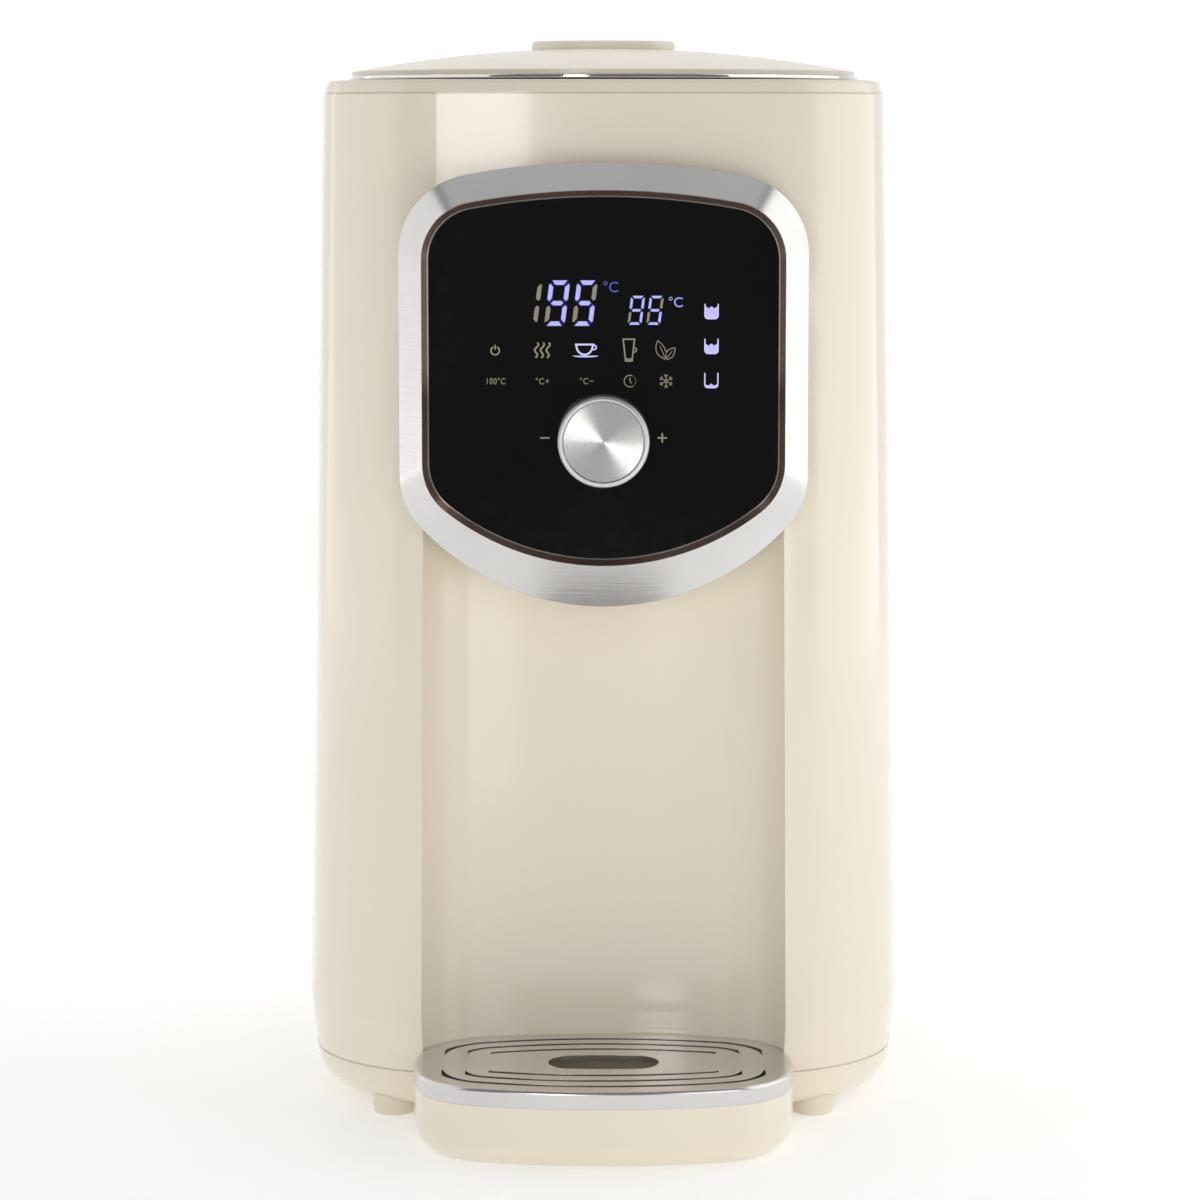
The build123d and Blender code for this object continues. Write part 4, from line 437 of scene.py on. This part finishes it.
def mug_sign(x, z):
    """A tall mug with a thick foot and a small handle."""
    top, foot = z + 3.7, z - 3.0
    wall = [(x - 1.9, top), (x + 1.9, top), (x + 1.15, foot), (x - 1.15, foot)]
    thick_foot = arc(x, foot - 0.5, 1.5, 0, 345, 23, 0.42)
    handle = arc(x + 1.75, z + 0.1, 0.8, -95, 95, 12)
    return ribbon(wall, 0.5, closed=True) + [thick_foot] + ribbon(handle, 0.45)


def leaf_sign(foot, tip, first_pull, second_pull):
    """A leaf from its foot to its tip, each side drawn towards a point, with a rib up its middle."""
    outline = bow(foot, first_pull, tip) + bow(tip, second_pull, foot)[1:-1]
    rib_end = tuple(start + (end - start) * 0.72 for start, end in zip(foot, tip))
    return ribbon(outline, 0.3, closed=True) + ribbon([foot, rib_end], 0.24)


def clock_sign(x, z):
    """A clock with two hands, whose ring turns into dots on the right."""
    radius, stroke = 1.95, 0.33
    shapes = ribbon(arc(x, z, radius, 65, 300, 24), stroke)
    for dot in range(5):
        angle = radians(-45 + 22 * dot)
        shapes.append(arc(x + radius * cos(angle), z + radius * sin(angle), 0.16, 0, 330, 11))
    return shapes + ribbon([(x, z + 1.15), (x, z - 0.1), (x + 0.6, z - 0.75)], stroke)


def snow_sign(x, z):
    """A snowflake of six arms, each with a fork near its end."""
    shapes = []
    for arm in range(6):
        turn = Matrix.Rotation(radians(60 * arm), 2)
        for line in ([(0, 0.1), (0, 2.35)], [(-0.62, 2.0), (0, 1.45), (0.62, 2.0)]):
            turned = [turn @ Vector(point) for point in line]
            shapes += ribbon([(x + point.x, z + point.y) for point in turned], 0.34)
    return shapes


# Putting the signs on the glass

sign_gap, halo_gap = 0.00006, 0.00003


def sign(name, shapes, gap, finish):
    """One mesh of flat shapes that face forward, gap metres in front of the glass."""
    mesh = bpy.data.meshes.new(name)
    net = bmesh.new()
    for shape in shapes:
        corners = [net.verts.new((x / 1000, glass_front - gap, z / 1000)) for x, z in shape]
        net.faces.new(corners)
    net.normal_update()
    for face in net.faces:
        if face.normal.y > 0:
            face.normal_flip()
    net.to_mesh(mesh)
    net.free()
    mesh.materials.append(finish)
    made = bpy.data.objects.new(name, mesh)
    bpy.context.scene.collection.objects.link(made)
    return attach(made, "housing")


def words(name, text, x, z, height, finish, squeeze=1.0, spacing=1.0):
    """Plain lettering centred on x, with its capitals height mm tall, standing on z."""
    capital_share, swell_share = 0.70, 0.001
    curve = bpy.data.curves.new(name, "FONT")
    curve.body = text
    curve.size = height / 1000 / capital_share
    curve.align_x = "CENTER"
    curve.offset = height / 1000 * swell_share
    curve.space_character = spacing
    curve.materials.append(finish)
    made = bpy.data.objects.new(name, curve)
    bpy.context.scene.collection.objects.link(made)
    stand = Matrix.Translation((x / 1000, glass_front - sign_gap, z / 1000))
    made.matrix_world = stand @ Matrix.Rotation(pi / 2, 4, "X") @ Matrix.Diagonal((squeeze, 1.0, 1.0, 1.0))
    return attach(made, "housing")


digit_shapes, lit_shapes, water_shapes, unlit_shapes, halo_shapes = [], [], [], [], []

# Two rows of digits. Each row has its middle height, half height, half width and bar width
lit_bars = {"9": "abcdfg", "5": "acdfg", "1": ""}
dark_bars = {"9": "e", "5": "be", "1": "bc"}
digit_rows = [
    (286.9, 7.6, 3.45, 1.45, [("1", -24.9), ("9", -15.6), ("5", -6.3)]),
    (284.5, 4.85, 2.35, 0.82, [("9", 11.0), ("5", 17.3)]),
]
digit_slant, halo_share = 0.13, 0.30
for row_z, half_height, half_width, bar_width, digits in digit_rows:
    for figure, digit_x in digits:
        bars = digit_bars(digit_x, row_z, half_width, half_height, bar_width, digit_slant)
        digit_shapes += [bars[letter] for letter in lit_bars[figure]]
        halo_shapes += [swollen(bars[letter], halo_share * bar_width) for letter in lit_bars[figure]]
        unlit_shapes += [bars[letter] for letter in dark_bars[figure]]

# Water levels on the right: full, half full and nearly empty
for beaker_z, level in ((284.2, 1.3), (272.5, 0.5), (261.0, -1.5)):
    beaker_wall, beaker_water = beaker_sign(36.3, beaker_z, level)
    lit_shapes += beaker_wall
    water_shapes.append(beaker_water)

# Upper row: power, steam, cup, tall mug, leaves
upper_z = 271.1
unlit_shapes += power_sign(-36.5, upper_z) + steam_sign(-22.4, upper_z) + mug_sign(8.5, upper_z)
lit_shapes += cup_sign(-6.4, upper_z)
leaf_foot = (20.9, upper_z - 3.1)
for tip, first_pull, second_pull in (
    ((18.2, upper_z + 3.2), (16.2, upper_z - 1.3), (21.9, upper_z + 0.6)),
    ((24.0, upper_z + 0.8), (20.6, upper_z + 0.6), (24.2, upper_z - 2.9)),
):
    unlit_shapes += leaf_sign(leaf_foot, tip, first_pull, second_pull)

# Lower row: clock and snowflake beside the plain lettering
lower_z = 260.7
unlit_shapes += clock_sign(8.9, lower_z) + snow_sign(21.05, lower_z)

# Minus and plus beside the knob
mark_z, mark_x, mark_half, mark_gap, mark_stroke = 241.5, 19.8, 1.6, 0.28, 0.55
for line in (
    [(-mark_x - mark_half, mark_z), (-mark_x + mark_half, mark_z)],
    [(mark_x - mark_half, mark_z), (mark_x + mark_half, mark_z)],
    [(mark_x, mark_z - mark_half), (mark_x, mark_z - mark_gap)],
    [(mark_x, mark_z + mark_gap), (mark_x, mark_z + mark_half)],
):
    unlit_shapes += ribbon(line, mark_stroke)

sign("panel_signs_halo", halo_shapes, halo_gap, halo)
sign("panel_digits", digit_shapes, sign_gap, digit)
sign("panel_signs_lit", lit_shapes, sign_gap, lit)
sign("panel_water", water_shapes, sign_gap, water)
sign("panel_signs_unlit", unlit_shapes, sign_gap, unlit_with_painted_glow)

label_z, label_height = lower_z - 1.05, 2.1
words("label_boil", "100°C", -36.4, label_z, label_height, unlit_with_painted_glow, 0.78, 1.15)
words("label_warmer", "°C+", -20.6, label_z, label_height, unlit_with_painted_glow, 0.92, 1.08)
words("label_cooler", "°C−", -5.7, label_z, label_height, unlit_with_painted_glow, 0.92, 1.08)
words("label_large_degree", "°C", 2.4, 290.6, 3.5, blue)
words("label_small_degree", "°C", 24.2, 285.6, 3.3, violet)


# Studio: a pale floor that turns up into a backdrop, soft boxes and the camera

def sweep():
    """A pale sheet that lies in front of, under and behind the object and curves up into a wall."""
    near, bend, turn, top, half = -1.7, 1.6, 0.9, 3.2, 3.0
    line = [(near, 0.0), (bend, 0.0)]
    line += [(bend + turn * sin(radians(a)), turn - turn * cos(radians(a))) for a in range(6, 90, 6)]
    line += [(bend + turn, turn), (bend + turn, top)]
    mesh = bpy.data.meshes.new("floor_sweep")
    net = bmesh.new()
    rows = [[net.verts.new((x, y, z)) for x in (-half, half)] for y, z in line]
    for low_row, high_row in zip(rows, rows[1:]):
        net.faces.new((low_row[0], low_row[1], high_row[1], high_row[0])).smooth = True
    net.to_mesh(mesh)
    net.free()
    made = bpy.data.objects.new("floor_sweep", mesh)
    bpy.context.scene.collection.objects.link(made)
    return made


floor = sweep()
floor.data.materials.append(
    surface("floor_paper", (0.86, 0.86, 0.86), tone=0.005, patch=0.8, roughness=(0.75, 0.85), bump=0.02,
            bump_size=0.002, Emission_Color=(1.0, 1.0, 1.0, 1.0), Emission_Strength=0.30)
)


def soft_box(name, place, aim, width, height, power, colour=(1.0, 1.0, 1.0), mirrored=True):
    """A rectangular area light at a place, turned towards a point, with or without its mirror image."""
    lamp = bpy.data.lights.new(name, "AREA")
    lamp.shape = "RECTANGLE"
    lamp.size, lamp.size_y = width, height
    lamp.energy = power
    lamp.color = colour
    made = bpy.data.objects.new(name, lamp)
    bpy.context.scene.collection.objects.link(made)
    made.location = place
    made.rotation_euler = (Vector(aim) - Vector(place)).to_track_quat("-Z", "Y").to_euler()
    made.visible_camera = False
    made.visible_glossy = mirrored
    return made


warm = (1.0, 0.985, 0.96)
soft_box("side_box_right", (1.35, 0.1, 1.0), (0.0, 0.1, 1.0), 2.0, 2.0, 15.5, warm)
soft_box("side_box_left", (-1.35, 0.1, 1.0), (0.0, 0.1, 1.0), 2.4, 2.0, 12.0, warm)
soft_box("top_box", (0.0, 0.4, 2.2), (0.0, 0.41, 0.0), 2.4, 2.0, 5.2)
soft_box("camera_box", (-0.41, -1.9, 0.36), (0.0, -0.08, 0.35), 0.31, 0.55, 3.5, warm)
soft_box("low_panel", (0.25, -0.50, 0.17), (0.0, -0.05, 0.17), 0.23, 0.30, 0.30, warm)
soft_box("wall_box", (0.0, 1.2, 2.4), (0.0, 2.4, 0.6), 3.0, 0.8, 20.0)
soft_box("front_fill", (0.0, -2.3, 0.9), (0.0, 0.0, 0.2), 2.2, 1.6, 10.0, warm, mirrored=False)

world = bpy.data.worlds.new("studio")
bpy.context.scene.world = world
world.use_nodes = True
background = world.node_tree.nodes["Background"]
background.inputs["Color"].default_value = (0.80, 0.82, 0.85, 1.0)
background.inputs["Strength"].default_value = 0.2

camera_data = bpy.data.cameras.new("camera")
camera_data.sensor_width = 36.0
camera_data.lens = 114.0
camera_data.clip_start, camera_data.clip_end = 0.05, 20.0
camera = bpy.data.objects.new("camera", camera_data)
bpy.context.scene.collection.objects.link(camera)
camera_tilt = 7.125
camera.location = (-0.0012, -1.3684, 0.3463)
camera.rotation_euler = (radians(90.0 - camera_tilt), 0.0, 0.0)
bpy.context.scene.camera = camera
bpy.context.scene.view_settings.view_transform = "Standard"
